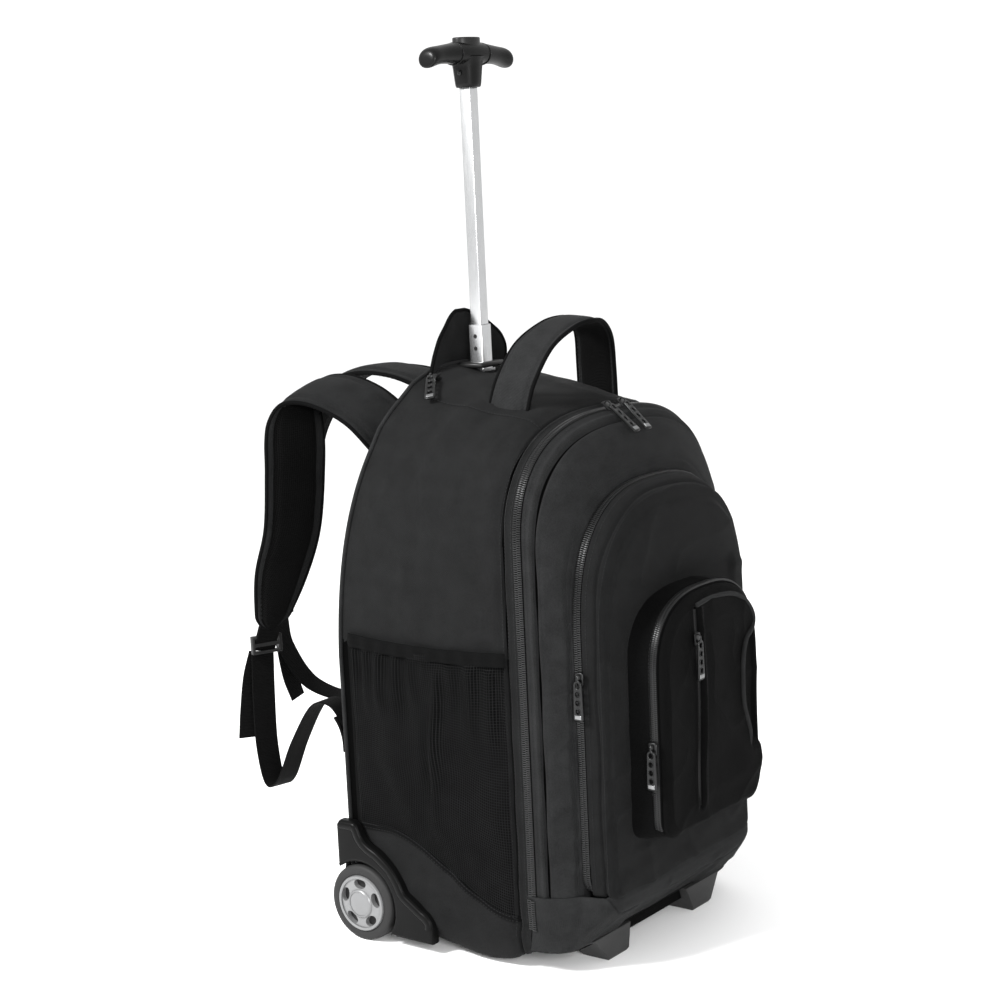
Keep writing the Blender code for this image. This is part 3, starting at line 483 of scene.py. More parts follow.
def cut_away(piece, cutters):
    """Boolean cuts, applied to the piece's mesh."""
    for k, cutter in enumerate(cutters):
        modifier = piece.modifiers.new(f"cut_{k}", "BOOLEAN")
        modifier.operation = "DIFFERENCE"
        modifier.solver = "EXACT"
        modifier.object = cutter
    mesh = evaluated(piece)
    old = piece.data
    piece.modifiers.clear()
    piece.data = mesh
    bpy.data.meshes.remove(old)
    for cutter in cutters:
        bpy.data.objects.remove(cutter, do_unlink=True)


def prism(name, outline, low, high):
    """A cutter: an outline of (y, z) points carried along X."""
    count = len(outline)
    points = [(x, y, z) for x in (low, high) for y, z in outline]
    faces = grid_faces(2, count, True).tolist() + end_caps(2, count)
    return make(name, points, faces, "fabric_side", None, smooth=False)


# ---------------------------------------------------------------- materials

class Nodes:
    """A material's node tree, built in short steps."""

    def __init__(self, name, colour, roughness, metallic=0.0, specular=0.5):
        self.material = FINISHES[name] = bpy.data.materials.new(name)
        self.material.use_nodes = True
        self.material.diffuse_color = (*colour, 1.0)
        self.tree = self.material.node_tree
        self.shader = self.tree.nodes["Principled BSDF"]
        self.shader.inputs["Base Color"].default_value = (*colour, 1.0)
        self.shader.inputs["Roughness"].default_value = roughness
        self.shader.inputs["Metallic"].default_value = metallic
        self.shader.inputs["Specular IOR Level"].default_value = specular
        self.object = self.add("ShaderNodeTexCoord").outputs["Object"]
        self.lay = self.add("ShaderNodeAttribute", attribute_name="lay").outputs["Vector"]

    def add(self, kind, **settings):
        node = self.tree.nodes.new(kind)
        for key, value in settings.items():
            if hasattr(node, key):
                setattr(node, key, value)
            else:
                node.inputs[key.replace("_", " ")].default_value = value
        return node

    def link(self, start, end):
        self.tree.links.new(start, end)

    def noise(self, scale, detail, vector=None):
        node = self.add("ShaderNodeTexNoise", Scale=scale, Detail=detail, Roughness=0.55)
        self.link(self.object if vector is None else vector, node.inputs["Vector"])
        return node.outputs["Fac"]

    def stretched(self, scale):
        node = self.add("ShaderNodeMapping", Scale=scale)
        self.link(self.object, node.inputs["Vector"])
        return node.outputs["Vector"]

    def wave(self, scale, direction):
        node = self.add("ShaderNodeTexWave", Scale=scale, Distortion=0.0, bands_direction=direction)
        self.link(self.lay, node.inputs["Vector"])
        return node.outputs["Fac"]

    def math(self, operation, a, b):
        node = self.add("ShaderNodeMath", operation=operation)
        for slot, value in ((0, a), (1, b)):
            if isinstance(value, (int, float)):
                node.inputs[slot].default_value = value
            else:
                self.link(value, node.inputs[slot])
        return node.outputs[0]

    def weighted(self, a, share_a, b, share_b):
        return self.math("ADD", self.math("MULTIPLY", a, share_a), self.math("MULTIPLY", b, share_b))

    def roughness(self, fac, low, high):
        """Roughness from low to high where the value goes from 0 to 1."""
        node = self.add("ShaderNodeMapRange", To_Min=low, To_Max=high)
        self.link(fac, node.inputs["Value"])
        self.link(node.outputs["Result"], self.shader.inputs["Roughness"])

    def colour(self, fac, dark, light, low=0.3, high=0.7):
        ramp = self.add("ShaderNodeValToRGB")
        for element, place, tone in zip(ramp.color_ramp.elements, (low, high), (dark, light)):
            element.position = place
            element.color = (*tone, 1.0)
        self.link(fac, ramp.inputs["Fac"])
        self.link(ramp.outputs["Color"], self.shader.inputs["Base Color"])

    def bump(self, height, distance):
        node = self.add("ShaderNodeBump", Distance=distance, Strength=1.0)
        self.link(height, node.inputs["Height"])
        self.link(node.outputs["Normal"], self.shader.inputs["Normal"])

    def set(self, **sockets):
        for key, value in sockets.items():
            self.shader.inputs[key.replace("_", " ")].default_value = value


def grey(value, warm=0.0):
    return (value * (1 + warm), value, value * (1 - warm))


def cloth(name, level, pitch=0.0007, mottle=0.60, sheen=0.012, rough=0.80, relief=0.00022,
          specular=0.06):
    """Woven cloth: two crossing thread directions, uneven yarn and soft mottling."""
    made = Nodes(name, grey(level, -0.02), rough, specular=specular)
    scale = 0.05 / pitch
    warp = made.wave(scale * 2 * math.pi, "X")
    weft = made.wave(scale * 2 * math.pi, "Y")
    twill = made.math("MULTIPLY", made.wave(scale * 4.4, "DIAGONAL"), 0.4)
    weave = made.math("MULTIPLY", made.math("ADD", made.math("MULTIPLY", warp, weft), twill), 0.6)
    yarn = made.noise(900.0, 2.0)
    cloudy = made.noise(55.0, 4.0)
    tone = made.weighted(yarn, 0.55, cloudy, 0.45)
    tone = made.weighted(weave, 0.25, tone, 0.80)
    made.colour(tone, grey(level * (1 - mottle), -0.02), grey(level * (1 + mottle), -0.02), 0.28, 0.76)
    made.roughness(cloudy, rough - 0.08, rough + 0.08)
    made.bump(made.math("ADD", weave, made.math("MULTIPLY", yarn, 0.7)), relief)
    made.set(Sheen_Weight=sheen, Sheen_Roughness=0.45)


def air_mesh(name, level):
    """A knitted spacer cloth with rows of small holes."""
    made = Nodes(name, grey(level), 0.9, specular=0.04)
    cells = made.add("ShaderNodeTexVoronoi", Scale=420.0, Randomness=0.15)
    made.link(made.lay, cells.inputs["Vector"])
    # The colour is painted darker in the holes, where the bump sinks them: painted shade in the holes.
    made.colour(cells.outputs["Distance"], grey(level * 0.25), grey(level * 1.5), 0.10, 0.55)
    made.bump(cells.outputs["Distance"], 0.0006)


def webbing(name, level):
    """Woven webbing with ribs across its length."""
    made = Nodes(name, grey(level), 0.72, specular=0.05)
    ribs = made.wave(2 * math.pi * 0.05 / 0.0016, "Y")
    threads = made.wave(2 * math.pi * 0.05 / 0.0009, "X")
    yarn = made.noise(700.0, 2.0)
    made.colour(made.weighted(ribs, 0.4, yarn, 0.6), grey(level * 0.55), grey(level * 1.5), 0.2, 0.8)
    made.bump(made.math("ADD", ribs, made.math("MULTIPLY", threads, 0.4)), 0.0004)
    made.set(Sheen_Weight=0.004)


def moulded(name, level, rough, grain=0.00004, coat=0.0, specular=0.16):
    """Moulded plastic or rubber: fine grain, faint flow marks and handling wear."""
    made = Nodes(name, grey(level), rough, specular=specular)
    fine = made.noise(1400.0, 2.0)
    broad = made.noise(38.0, 5.0)
    made.colour(made.weighted(fine, 0.4, broad, 0.6), grey(level * 0.82), grey(level * 1.2))
    made.roughness(broad, rough - 0.06, rough + 0.06)
    made.bump(fine, grain)
    if coat:
        made.set(Coat_Weight=coat, Coat_Roughness=0.12)


def metal(name, level, rough, metallic=1.0, brushed=(1.0, 1.0, 1.0)):
    """Drawn or plated metal: fine lines along one direction over a slightly cloudy finish."""
    made = Nodes(name, grey(level, -0.01), rough, metallic)
    lines = made.noise(2600.0, 2.0, made.stretched(brushed))
    cloudy = made.noise(60.0, 3.0)
    made.colour(made.weighted(lines, 0.6, cloudy, 0.4),
                grey(level * 0.90, -0.01), grey(level * 1.06, -0.01))
    made.roughness(lines, rough - 0.05, rough + 0.07)
    made.bump(lines, 0.000003)


def make_materials():
    # One black fabric in lit and shaded copies: the lid and base band cloth is painted lighter (painted
    # light), the pouch cloth darker (painted shade); the side and front cloths sit near one level.
    cloth("fabric_side", 0.0058)
    cloth("fabric_lid", 0.0115)
    cloth("fabric_front", 0.0054)
    cloth("fabric_pouch", 0.0012, sheen=0.005, specular=0.04)
    cloth("fabric_tape", 0.0020, pitch=0.0011, mottle=0.25, sheen=0.004, specular=0.03)
    # A near-black copy of the cloth, used only as painted shade: along the zip-strip seams and on the tub's
    # sides behind the nets.
    cloth("painted_shade_cloth", 0.0005, sheen=0.001, specular=0.02)
    cloth("fabric_strap", 0.0085)
    cloth("lining", 0.060, mottle=0.2, sheen=0.05)
    cloth("handle_cloth", 0.0110, pitch=0.0013, relief=0.0003)
    cloth("net_thread", 0.0058, pitch=0.0006, rough=0.6, sheen=0.004, specular=0.03)
    cloth("thread", 0.014, pitch=0.0005, sheen=0.05)
    cloth("piping", 0.012, pitch=0.0006)
    air_mesh("air_mesh", 0.0016)
    webbing("webbing", 0.0010)
    moulded("plastic_gloss", 0.0022, 0.36, specular=0.07)
    moulded("plastic_satin", 0.010, 0.38)
    moulded("plastic_foot", 0.022, 0.46)
    moulded("grip_rubber", 0.0030, 0.34, coat=0.03, specular=0.10)
    moulded("rubber", 0.014, 0.62, grain=0.00008)
    moulded("board", 0.12, 0.6)
    metal("tube_metal", 0.52, 0.24, brushed=(1.0, 1.0, 0.02))
    metal("hub_paint", 0.15, 0.36, metallic=0.35)
    metal("steel", 0.20, 0.34)
    metal("gunmetal", 0.020, 0.30, metallic=0.9)
    metal("zip_teeth", 0.016, 0.34, metallic=0.6)


# ---------------------------------------------------------------- the tub

def tub_skin(u, v):
    """The tub from its front rim (v 0) to its back edge (v 1), then across its back (v 1 to 2)."""
    share = np.clip(v, 0, 1)
    edge = ease(0.93, 1.0, share)
    scale = (1 - 0.055 * edge ** 1.6) * np.clip(2 - v, 0, 1) ** np.where(v > 1, 1.0, 0.0)
    turned_in = 0.93 + 0.07 * np.sin(0.5 * np.pi * np.clip((share - 0.93) / 0.07, 0, 1))
    deep = mix(share, turned_in, share > 0.93)
    half = mix(0.155, 0.153, deep) + 0.002 * np.sin(np.pi * deep)
    x, z = arch(u, half, mix(0.026, BACK_BOTTOM, deep), mix(0.400, BACK_SHOULDER, deep),
                mix(0.513, BACK_TOP, deep), 0.012)
    x, z = x * scale, 0.27 + (z - 0.27) * scale
    y = mix(TUB_FRONT, back_y(z), deep)
    return joined(x, y, z)


def tub_relief(points):
    """How far the tub's cloth stands off its plain form: strip, seam, stuffing, creases."""
    x, y, z = np.moveaxis(points, -1, 0)
    depth = y - TUB_FRONT
    side = ease(0.10, 0.14, np.abs(x)) * ease(0.40, 0.30, z)
    seam = depth - ZIP_STRIP - 0.0005 * np.sin(z * 90)
    height = -0.0007 * ease(0.001, -0.001, seam) - 0.0028 * bell(seam, 0, 0.0014)
    height += 0.0012 * bell(seam, -0.0036, 0.0018) + 0.0022 * ease(0.001, 0.010, seam)
    height += 0.0030 * bell(z, 0.40, 0.09) * ease(0.02, 0.09, depth) * ease(0.235, 0.16, depth)
    body = ease(0.015, 0.03, depth) * ease(-0.002, -0.03, y) * (0.35 + 0.65 * ease(0.285, 0.330, z))
    height += body * ripples(points, (0.09, 0.11, 0.06), 0.0048, 3.1)
    height += body * ripples(points, (0.05, 0.022, 0.05), 0.0016, 7.7)
    height += body * folds(points, (0.10, 0.10, 0.07), 0.0016, 14.3)
    press = ease(-0.112, -0.090, y) * ease(-0.004, -0.020, y) * ease(0.135, 0.115, z)
    below = ease(0.0, 0.012, pocket_foot(y) - 0.004 - z)
    height += 0.0026 * press * below * ease(0.120, 0.140, np.abs(x)) * ease(0.024, 0.034, z)
    crease = ripples(points, (0.03, 0.05, 0.012), 0.0022, 11.3)
    height += crease * ease(0.15, 0.05, z) * side * ease(-0.055, -0.085, y)
    return height


def tub_sag(points):
    """The cloth between the wheel guard and the front sags below the bag's floor."""
    x, y, z = np.moveaxis(points, -1, 0)
    run = np.clip((-0.030 - y) / 0.187, 0, 1)
    hang = np.sin(np.pi * run ** 1.25) * ease(0.046, 0.026, z) * ease(0.06, 0.13, np.abs(x))
    points[..., 2] -= 0.0165 * hang * ease(0.165, 0.150, np.abs(x) + 0.35 * np.maximum(z - 0.030, 0))


def tub():
    shares = np.concatenate([np.linspace(0, 0.045, 8), np.linspace(0.050, 0.085, 18),
                             np.linspace(0.095, 0.92, 58), np.linspace(0.93, 1.0, 12)])
    rows = np.concatenate([shares, 1 + np.linspace(0.03, 1.0, 22)])
    u = np.linspace(0, 1, 400, endpoint=False)
    v, u = np.meshgrid(rows, u, indexing="ij")
    points = tub_skin(u, v)
    round_wall = points[:len(shares)]
    nx, nz = outward(round_wall[..., 0], round_wall[..., 2])
    height = tub_relief(round_wall)
    round_wall[..., 0] += nx * height
    round_wall[..., 2] += nz * height
    tub_sag(round_wall)
    piece = shell("tub_cloth", points[:, ::-1], SKIN, "fabric_side", "bag", wrap=True, inner="lining")
    # Painted shade: the tub's sides behind the nets and the seam beside the zip strip take the near-black
    # cloth.
    paint_shade(piece, lambda x, y, z: (abs(x) > 0.147 and y > POCKET_FRONT + 0.004
                                   and pocket_foot(y) < z < 0.298))
    paint_shade(piece, lambda x, y, z: abs(y - TUB_FRONT - ZIP_STRIP) < 0.0007 and z > 0.05)
    radius = DRUM_R + GAP
    turns = np.linspace(math.acos(GUARD_BACK / radius), np.pi, 40)
    arc = [(radius * math.cos(t), WHEEL_R + radius * math.sin(t)) for t in turns]
    outline = [(0.08, -0.03), (0.08, arc[0][1]), *arc, (-radius, -0.03)]
    cut_away(piece, [prism(f"well_cut_{word}", outline, side * 0.1297, side * 0.2)
                     for side, word in SIDES])
    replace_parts(piece, "main_shell")


def paint_shade(piece, inside):
    """Gives the outer faces where the test holds the near-black cloth that paints shade: painted shade along
    seams and behind the pockets' nets.
    """
    if "painted_shade_cloth" not in piece.data.materials:
        piece.data.materials.append(FINISHES["painted_shade_cloth"])
    last = len(piece.data.materials) - 1
    for face in piece.data.polygons:
        x, y, z = face.center - Vector((0, BAG_Y, 0))
        if face.material_index == 0 and inside(x, y, z):
            face.material_index = last


def tub_point(u, v, lift=0.0):
    """Places on the tub's finished cloth, with their normals."""
    points, normal = on_skin(tub_skin, u, v)
    normal = normal * np.sign((normal * (points - (0, -0.08, 0.27))).sum(1))[:, None]
    height = tub_relief(points)
    return points + normal * (height[:, None] + lift), normal


def tub_details():
    u = np.linspace(0.135, 0.865, 300)
    line, normal = tub_point(u, np.full_like(u, 0.945), 0.0012)
    piping("back_edge_piping", line, normal, 0.0042, "bag")
    u = np.linspace(0.105, 0.895, 420)
    for name, depth in (("rim_stitches", 0.0035), ("strip_stitches", ZIP_STRIP - 0.0025),
                        ("panel_stitches", ZIP_STRIP + 0.0032)):
        line, normal = tub_point(u, np.full_like(u, depth / TUB_DEPTH))
        stitches(name, line, normal, "bag")
    for side, word in SIDES:
        v = np.linspace(0.075, 0.80, 60)
        dense = np.linspace(0.5, 0.72, 400) if side < 0 else np.linspace(0.5, 0.28, 400)
        u = []
        for share in v:
            x = tub_skin(dense, np.full_like(dense, share))[:, 0]
            u.append(np.interp(TOP_SEAM_X, np.abs(x), dense))
        line, normal = tub_point(np.array(u), v)
        sweep(f"top_seam_{word}", line, normal, round_profile(0.0022, 0.0012, 8), "fabric_side", "bag")
        for k, shift in enumerate((-0.0030, 0.0030)):
            moved = line + np.array([side * shift, 0, 0])
            stitches(f"top_seam_stitches_{word}_{k}", moved + normal * 0.0001, normal, "bag")


# ---------------------------------------------------------------- front panel, compartment, pouch

def dish_skin(stations, u, v, corner):
    """A domed panel through its stations (v 0 to 1), then across its front face (v 1 to 2)."""
    y, half, bottom, shoulder, top = table(stations, np.asarray(v, float))
    x, z = arch(u, half, bottom, shoulder, top, corner)
    scale = np.clip(2 - v, 0, 1) ** np.where(np.asarray(v) > 1, 1.0, 0.0)
    middle = 0.5 * (bottom + top)
    return joined(x * scale, y, middle + (z - middle) * scale)


def dish_grid(stations, rows, columns, corner, relief):
    """The panel's grid, with its relief along its own normals: outward on its sides, -Y on its face."""
    v, u = np.meshgrid(rows, np.linspace(0, 1, columns, endpoint=False), indexing="ij")
    points = dish_skin(stations, u, v, corner)
    return points + dish_normals(points, v) * relief(points, v)[..., None]


def dish_normals(points, v):
    nx, nz = outward(points[..., 0], points[..., 2])
    face = ease(0.90, 1.06, v)
    normal = joined(nx * (1 - face), -face, nz * (1 - face))
    return unit(normal)


def lid_relief(points, v):
    x, y, z = np.moveaxis(points, -1, 0)
    depth = LID_BACK - y
    seam = depth - 0.0118 - 0.0004 * np.sin(70 * z + 1)
    height = -0.0005 * ease(0.001, -0.001, seam) - 0.0028 * bell(seam, 0, 0.0014)
    height += 0.0012 * bell(seam, -0.0036, 0.0018)
    height += 0.0018 * ease(0.001, 0.009, seam) * ease(0.95, 0.80, v)
    front = v - 0.86 - 0.01 * np.sin(60 * z)
    height += -0.0016 * bell(front, 0, 0.022) * (v < 1.1)
    side = ease(0.09, 0.12, np.abs(x))
    height -= 0.0011 * bell(z, 0.2700 + 0.06 * (depth - 0.006), 0.0013) * side * ease(0.012, 0.015, depth)
    gusset = ease(0.013, 0.020, depth) * ease(1.0, 0.9, v)
    calm = 0.25 + 0.75 * ease(0.076, 0.110, z)
    height += gusset * calm * ripples(points, (0.06, 0.05, 0.055), 0.0044, 5.2)
    height += gusset * calm * ripples(points, (0.03, 0.03, 0.018), 0.0020, 9.4) * ease(0.30, 0.12, z)
    height += gusset * calm * folds(points, (0.05, 0.05, 0.035), 0.0016, 21.7)
    return height


def panel_stitches(stations, corner, relief, u, rows, body):
    """Rows of stitches round a panel, each named and at one v."""
    for name, v in rows:
        line, normal = dish_path(stations, u, v, corner, relief)
        stitches(name, line, normal, body)


def front_lid():
    rows = np.concatenate([np.linspace(0, 0.22, 10), np.linspace(0.235, 0.33, 16),
                           np.linspace(0.345, 0.80, 22), np.linspace(0.815, 1.0, 14),
                           1 + np.linspace(0.02, 1.0, 10)])
    grid = dish_grid(LID, rows, 480, 0.006, lid_relief)
    # The lid's cloth is the lighter copy of the fabric: painted light.
    piece = shell("front_panel_cloth", grid, 0.0024, "fabric_lid", "front_panel", wrap=True,
                  inner="lining")
    # Painted shade along the lid's seam beside its zip strip.
    paint_shade(piece, lambda x, y, z: abs(LID_BACK - y - 0.0118) < 0.0007)
    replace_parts(piece, "front_panel")
    depths = (("lid_rim_stitches", 0.0028), ("lid_strip_stitches", 0.0098), ("lid_panel_stitches", 0.0150))
    panel_stitches(LID, 0.006, lid_relief, np.linspace(0.105, 0.895, 420),
                   [(name, depth / LID_STEP / 4) for name, depth in depths], "front_panel")
    panel_stitches(LID, 0.006, lid_relief, np.linspace(0.115, 0.885, 400),
                   [("lid_front_stitches", 0.93)], "front_panel")


def dish_path(stations, u, v, corner, relief):
    """A line round a panel at one v, on its finished cloth."""
    v = np.full_like(u, v)
    points, normal = on_skin(lambda a, b: dish_skin(stations, a, b, corner), u, v)
    middle = np.array([0, points[:, 1].mean() + 0.05, 0.25])
    normal = normal * np.sign((normal * (points - middle)).sum(1))[:, None]
    return points + normal * (relief(points, v)[:, None] + STITCH_LIFT), normal


def comp_relief(points, v):
    x, _, z = np.moveaxis(points, -1, 0)
    wavy = 0.47 + 0.03 * np.sin(z * 55 + x * 30) * ease(1.3, 0.9, v)
    height = -0.0018 * bell(v - wavy, 0, 0.05) + 0.0012 * ease(wavy + 0.05, wavy + 0.3, v)
    face = ease(0.95, 1.25, v)
    clear = 1 - ease(0.100, 0.088, np.abs(x)) * ease(0.368, 0.356, z) * ease(0.112, 0.120, z)
    height += 0.0048 * face * ease(0.345, 0.40, z) * clear * ease(0.445, 0.41, z)
    height += 0.0016 * face * clear
    height += (0.25 + 0.75 * clear) * ripples(points, (0.07, 0.07, 0.06), 0.0034, 2.2) * ease(0.5, 0.7, v)
    height += clear * ripples(points, (0.05, 0.05, 0.016), 0.0018, 6.1) * ease(0.13, 0.10, z)
    height += clear * folds(points, (0.07, 0.07, 0.05), 0.0018, 17.9) * ease(0.5, 0.7, v)
    reach = np.hypot(np.maximum(np.abs(x) - 0.1060, 0), np.minimum(z - 0.0945, 0)) - 0.0225
    low = ease(0.098, 0.090, z) * ease(0.098, 0.108, np.abs(x))
    height -= low * (0.0018 * bell(reach, 0, 0.0014) + 0.0026 * ease(0.0, 0.003, reach))
    return height


def front_compartment():
    rows = np.concatenate([np.linspace(0, 0.30, 8), np.linspace(0.33, 0.62, 20), np.linspace(0.66, 1, 12),
                           1 + np.linspace(0.02, 1.0, 44)])
    grid = dish_grid(COMP, rows, 420, 0.008, comp_relief)
    piece = shell("front_compartment_cloth", grid, 0.0022, "fabric_front", "front_compartment",
                  wrap=True, inner="lining")
    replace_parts(piece, "front_compartment")
    panel_stitches(COMP, 0.008, comp_relief, np.linspace(0.12, 0.88, 380),
                   [("compartment_rim_stitches", 0.16), ("compartment_seam_stitches", 0.60)],
                   "front_compartment")


SLIT_LOW, SLIT_HIGH = 0.145, 0.337
PIPE = ((-0.0290, -0.3088, 0.3378), (-0.0095, -0.3090, 0.3400), (0.0150, -0.3090, 0.3392),
        (0.0388, -0.3088, 0.3350), (0.0600, -0.3080, 0.3245), (0.0742, -0.3072, 0.3085),
        (0.0700, -0.3088, 0.2965), (0.0560, -0.3102, 0.2880), (0.0490, -0.3104, 0.2700),
        (0.0475, -0.3104, 0.2450), (0.0490, -0.3104, 0.2230), (0.0585, -0.3100, 0.1980),
        (0.0590, -0.3090, 0.1820))


def slit_x(z):
    return -0.0310 + 0.0050 * bell(z, 0.255, 0.060)


def pipe_x(z):
    """Where the piping that bounds the right-hand panel runs, below the pouch's shoulder."""
    return np.interp(z, (0.182, 0.198, 0.223, 0.245, 0.270, 0.288, 0.2965, 0.3085),
                     (0.0590, 0.0585, 0.0490, 0.0475, 0.0490, 0.0560, 0.0700, 0.0742))


def pouch_relief(points, v):
    x, _, z = np.moveaxis(points, -1, 0)
    height = -0.0010 * bell(v, 0.44, 0.04) - 0.0010 * bell(v, 0.60, 0.04)
    face = ease(0.92, 1.04, v)
    off = x - slit_x(z)
    inside = ease(SLIT_LOW - 0.004, SLIT_LOW + 0.004, z) * ease(SLIT_HIGH + 0.003, SLIT_HIGH - 0.003, z)
    height += face * inside * (-0.0050 * bell(off, 0.0002, 0.0021) + 0.0013 * bell(off, -0.0052, 0.0026)
                               + 0.0018 * bell(off, 0.0050, 0.0026))
    height += 0.0018 * face * ease(0.001, 0.006, off) * ease(0.145, 0.16, z)
    beyond = ease(0.0, 0.0040, x - pipe_x(z) - 0.0005) * ease(0.176, 0.190, z) * ease(0.314, 0.304, z)
    height -= 0.0068 * face * beyond
    height += 0.0030 * face * bell(x, 0.062, 0.026) * bell(z, 0.163, 0.022)
    height += 0.0012 * face * np.cos(x * 60) * ease(0.12, 0.2, z)
    height += ripples(points, (0.045, 0.05, 0.055), 0.0022, 4.4) * ease(0.62, 0.9, v)
    height += ripples(points, (0.03, 0.02, 0.03), 0.0010, 8.8) * ease(0.4, 0.2, v)
    height += folds(points, (0.05, 0.05, 0.07), 0.0014, 24.1) * ease(0.62, 0.9, v)
    return height


def small_pouch():
    rows = np.concatenate([np.linspace(0, 0.38, 14), np.linspace(0.40, 0.66, 22), np.linspace(0.68, 1, 12),
                           1 + np.linspace(0.012, 1.0, 72)])
    grid = dish_grid(POUCH, rows, 380, 0.017, pouch_relief)
    # The pouch's cloth is the darker copy of the fabric: painted shade.
    piece = shell("small_pouch_cloth", grid, 0.0018, "fabric_pouch", "front_compartment", wrap=True)
    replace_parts(piece, "small_pouch")
    line = spline(PIPE, 160)
    piping("pouch_piping", line, (0, -1, 0), 0.0046, "front_compartment")
    z = np.linspace(SLIT_LOW + 0.002, SLIT_HIGH - 0.002, 120)
    line = joined(slit_x(z), -0.3062, z)
    teeth = chain("slit_zip_teeth", line, (0, -1, 0), "front_compartment", None, pitch=0.0016)
    teeth.data.materials[0] = FINISHES["plastic_satin"]
    for name, shift in (("slit_stitches_left", -0.0075), ("slit_stitches_right", 0.0075)):
        line = joined(slit_x(z) + shift, -0.3102 - 0.0011 * (shift > 0), z)
        stitches(name, line, (0, -1, 0), "front_compartment")
    panel_stitches(POUCH, 0.017, pouch_relief, np.linspace(0.16, 0.84, 300),
                   [("pouch_tape_stitches_rear", 0.40), ("pouch_tape_stitches_front", 0.64)],
                   "front_compartment")


def base_band():
    """The cloth band below the front opening; its top edge follows the front panel as a hinge."""
    top_plan = [(0.1558, -0.1952), (0.1574, -0.2043), (0.1560, -0.2150), (0.1492, -0.2262),
                (0.1420, -0.2352), (0.1350, -0.2415), (0.1325, -0.2490), (0.1304, -0.2590),
                (0.1250, -0.2660), (0.1110, -0.2695), (0.0800, -0.2705), (0.0400, -0.2707),
                (0.0, -0.2707)]
    low_plan = [(0.1545, -0.1958), (0.1543, -0.2010), (0.1535, -0.2080), (0.1515, -0.2150),
                (0.1480, -0.2215), (0.1440, -0.2265), (0.1390, -0.2305), (0.1320, -0.2335),
                (0.1220, -0.2355), (0.1080, -0.2365), (0.0800, -0.2370), (0.0400, -0.2372),
                (0.0, -0.2372)]
    plans = []
    for plan in (top_plan, low_plan):
        full = plan + [(-x, y) for x, y in plan[-2::-1]]
        rows = np.array([(x, y, 0.0) for x, y in full])
        place = np.linspace(0, len(rows) - 1, 361)
        smooth = np.stack([np.interp(place, np.arange(len(rows)), rows[:, k]) for k in range(2)], -1)
        kernel = np.ones(9) / 9
        soft = np.stack([np.convolve(np.pad(smooth[:, k], 4, mode="edge"), kernel, "valid")
                         for k in range(2)], -1)
        soft[:4], soft[-4:] = smooth[:4], smooth[-4:]
        plans.append(soft)
    downs = np.concatenate([np.linspace(0, 1, 36), 1 + np.linspace(0.05, 1, 12)])
    ledge = 0.0038
    grid = []
    for down in downs:
        level = min(down, 1.0)
        share = ease(0.18, 1.0, level) * 0.9 + 0.1 * level
        plan = mix(plans[0], plans[1], share)
        rise = 0.0050 * ease(0.078, 0.064, np.abs(plan[:, 0]))
        z = mix(0.0737 + ledge, 0.0225 + rise, level)
        if down > 1:
            inward = down - 1
            plan = plan * (1 - 0.25 * inward, 1)
            plan[:, 1] = mix(plan[:, 1], -0.1962, inward)
            z += 0.0015 * inward
        else:
            round_in = max(level - 0.86, 0) / 0.14
            plan = plan * (1 - 0.012 * round_in ** 2, 1)
            plan[:, 1] += 0.004 * round_in ** 2
        grid.append(np.stack([plan[:, 0], plan[:, 1], z], -1))
    grid = np.array(grid)
    x, y, z = np.moveaxis(grid, -1, 0)
    wall = (downs <= 1)[:, None]
    seam_z = 0.0570 + 0.026 * ease(0.095, 0.134, np.abs(x)) ** 2
    front = ease(0.136, 0.128, np.abs(x))
    height = wall * front * (-0.0016 * bell(z, seam_z, 0.0012) + 0.0012 * ease(0.0, 0.004, z - seam_z))
    height += wall * ripples(grid, (0.06, 0.05, 0.03), 0.0030, 1.7) * ease(0.0735, 0.066, z)
    height += wall * 0.0025 * bell(z, 0.046, 0.014) * (1 - 0.5 * front)
    height -= wall * 0.0012 * ease(0.0715, 0.0775, z)
    height += wall * folds(grid, (0.05, 0.05, 0.028), 0.0016, 5.3) * ease(0.072, 0.064, z)
    grid[..., 1] -= height
    # The band's cloth is the lighter copy of the fabric: painted light.
    piece = shell("front_base_cloth", grid, 0.0022, "fabric_lid", None, inner="lining")
    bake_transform(piece)
    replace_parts(piece, "front_base_band")


# ---------------------------------------------------------------- zips

def arch_line(y, half, bottom, shoulder, top, foot, rise):
    """An open line over an arch, from foot height on one side to the other, and its outward normals."""
    count = 420
    u = np.linspace(0.02, 0.98, 3 * count)
    x, z = arch(u, half, bottom, shoulder, top)
    nx, nz = outward(x, z)
    keep = z >= foot
    line = joined(x + nx * rise, y, z + nz * rise, nx, nz)[keep][1:-1]
    line = spread(line, count)
    return line[:, :3], joined(line[:, 3], 0.0, line[:, 4])


def zip_half(name, y, shape, foot, body, node, offset, pitch=0.0021, rise=0.0002):
    """One side of an arched zip: its teeth and the tape under them."""
    line, up = arch_line(y, *shape, foot, rise)
    chain(name, line, up, body, node, offset, pitch)
    edge, low, high = 0.5 * CHAIN + 0.0006, -0.0020, -0.0007
    tape = [(-edge, low), (edge, low), (edge, high), (-edge, high)]
    sweep(name + "_tape", line, up, tape, "fabric_tape", body)


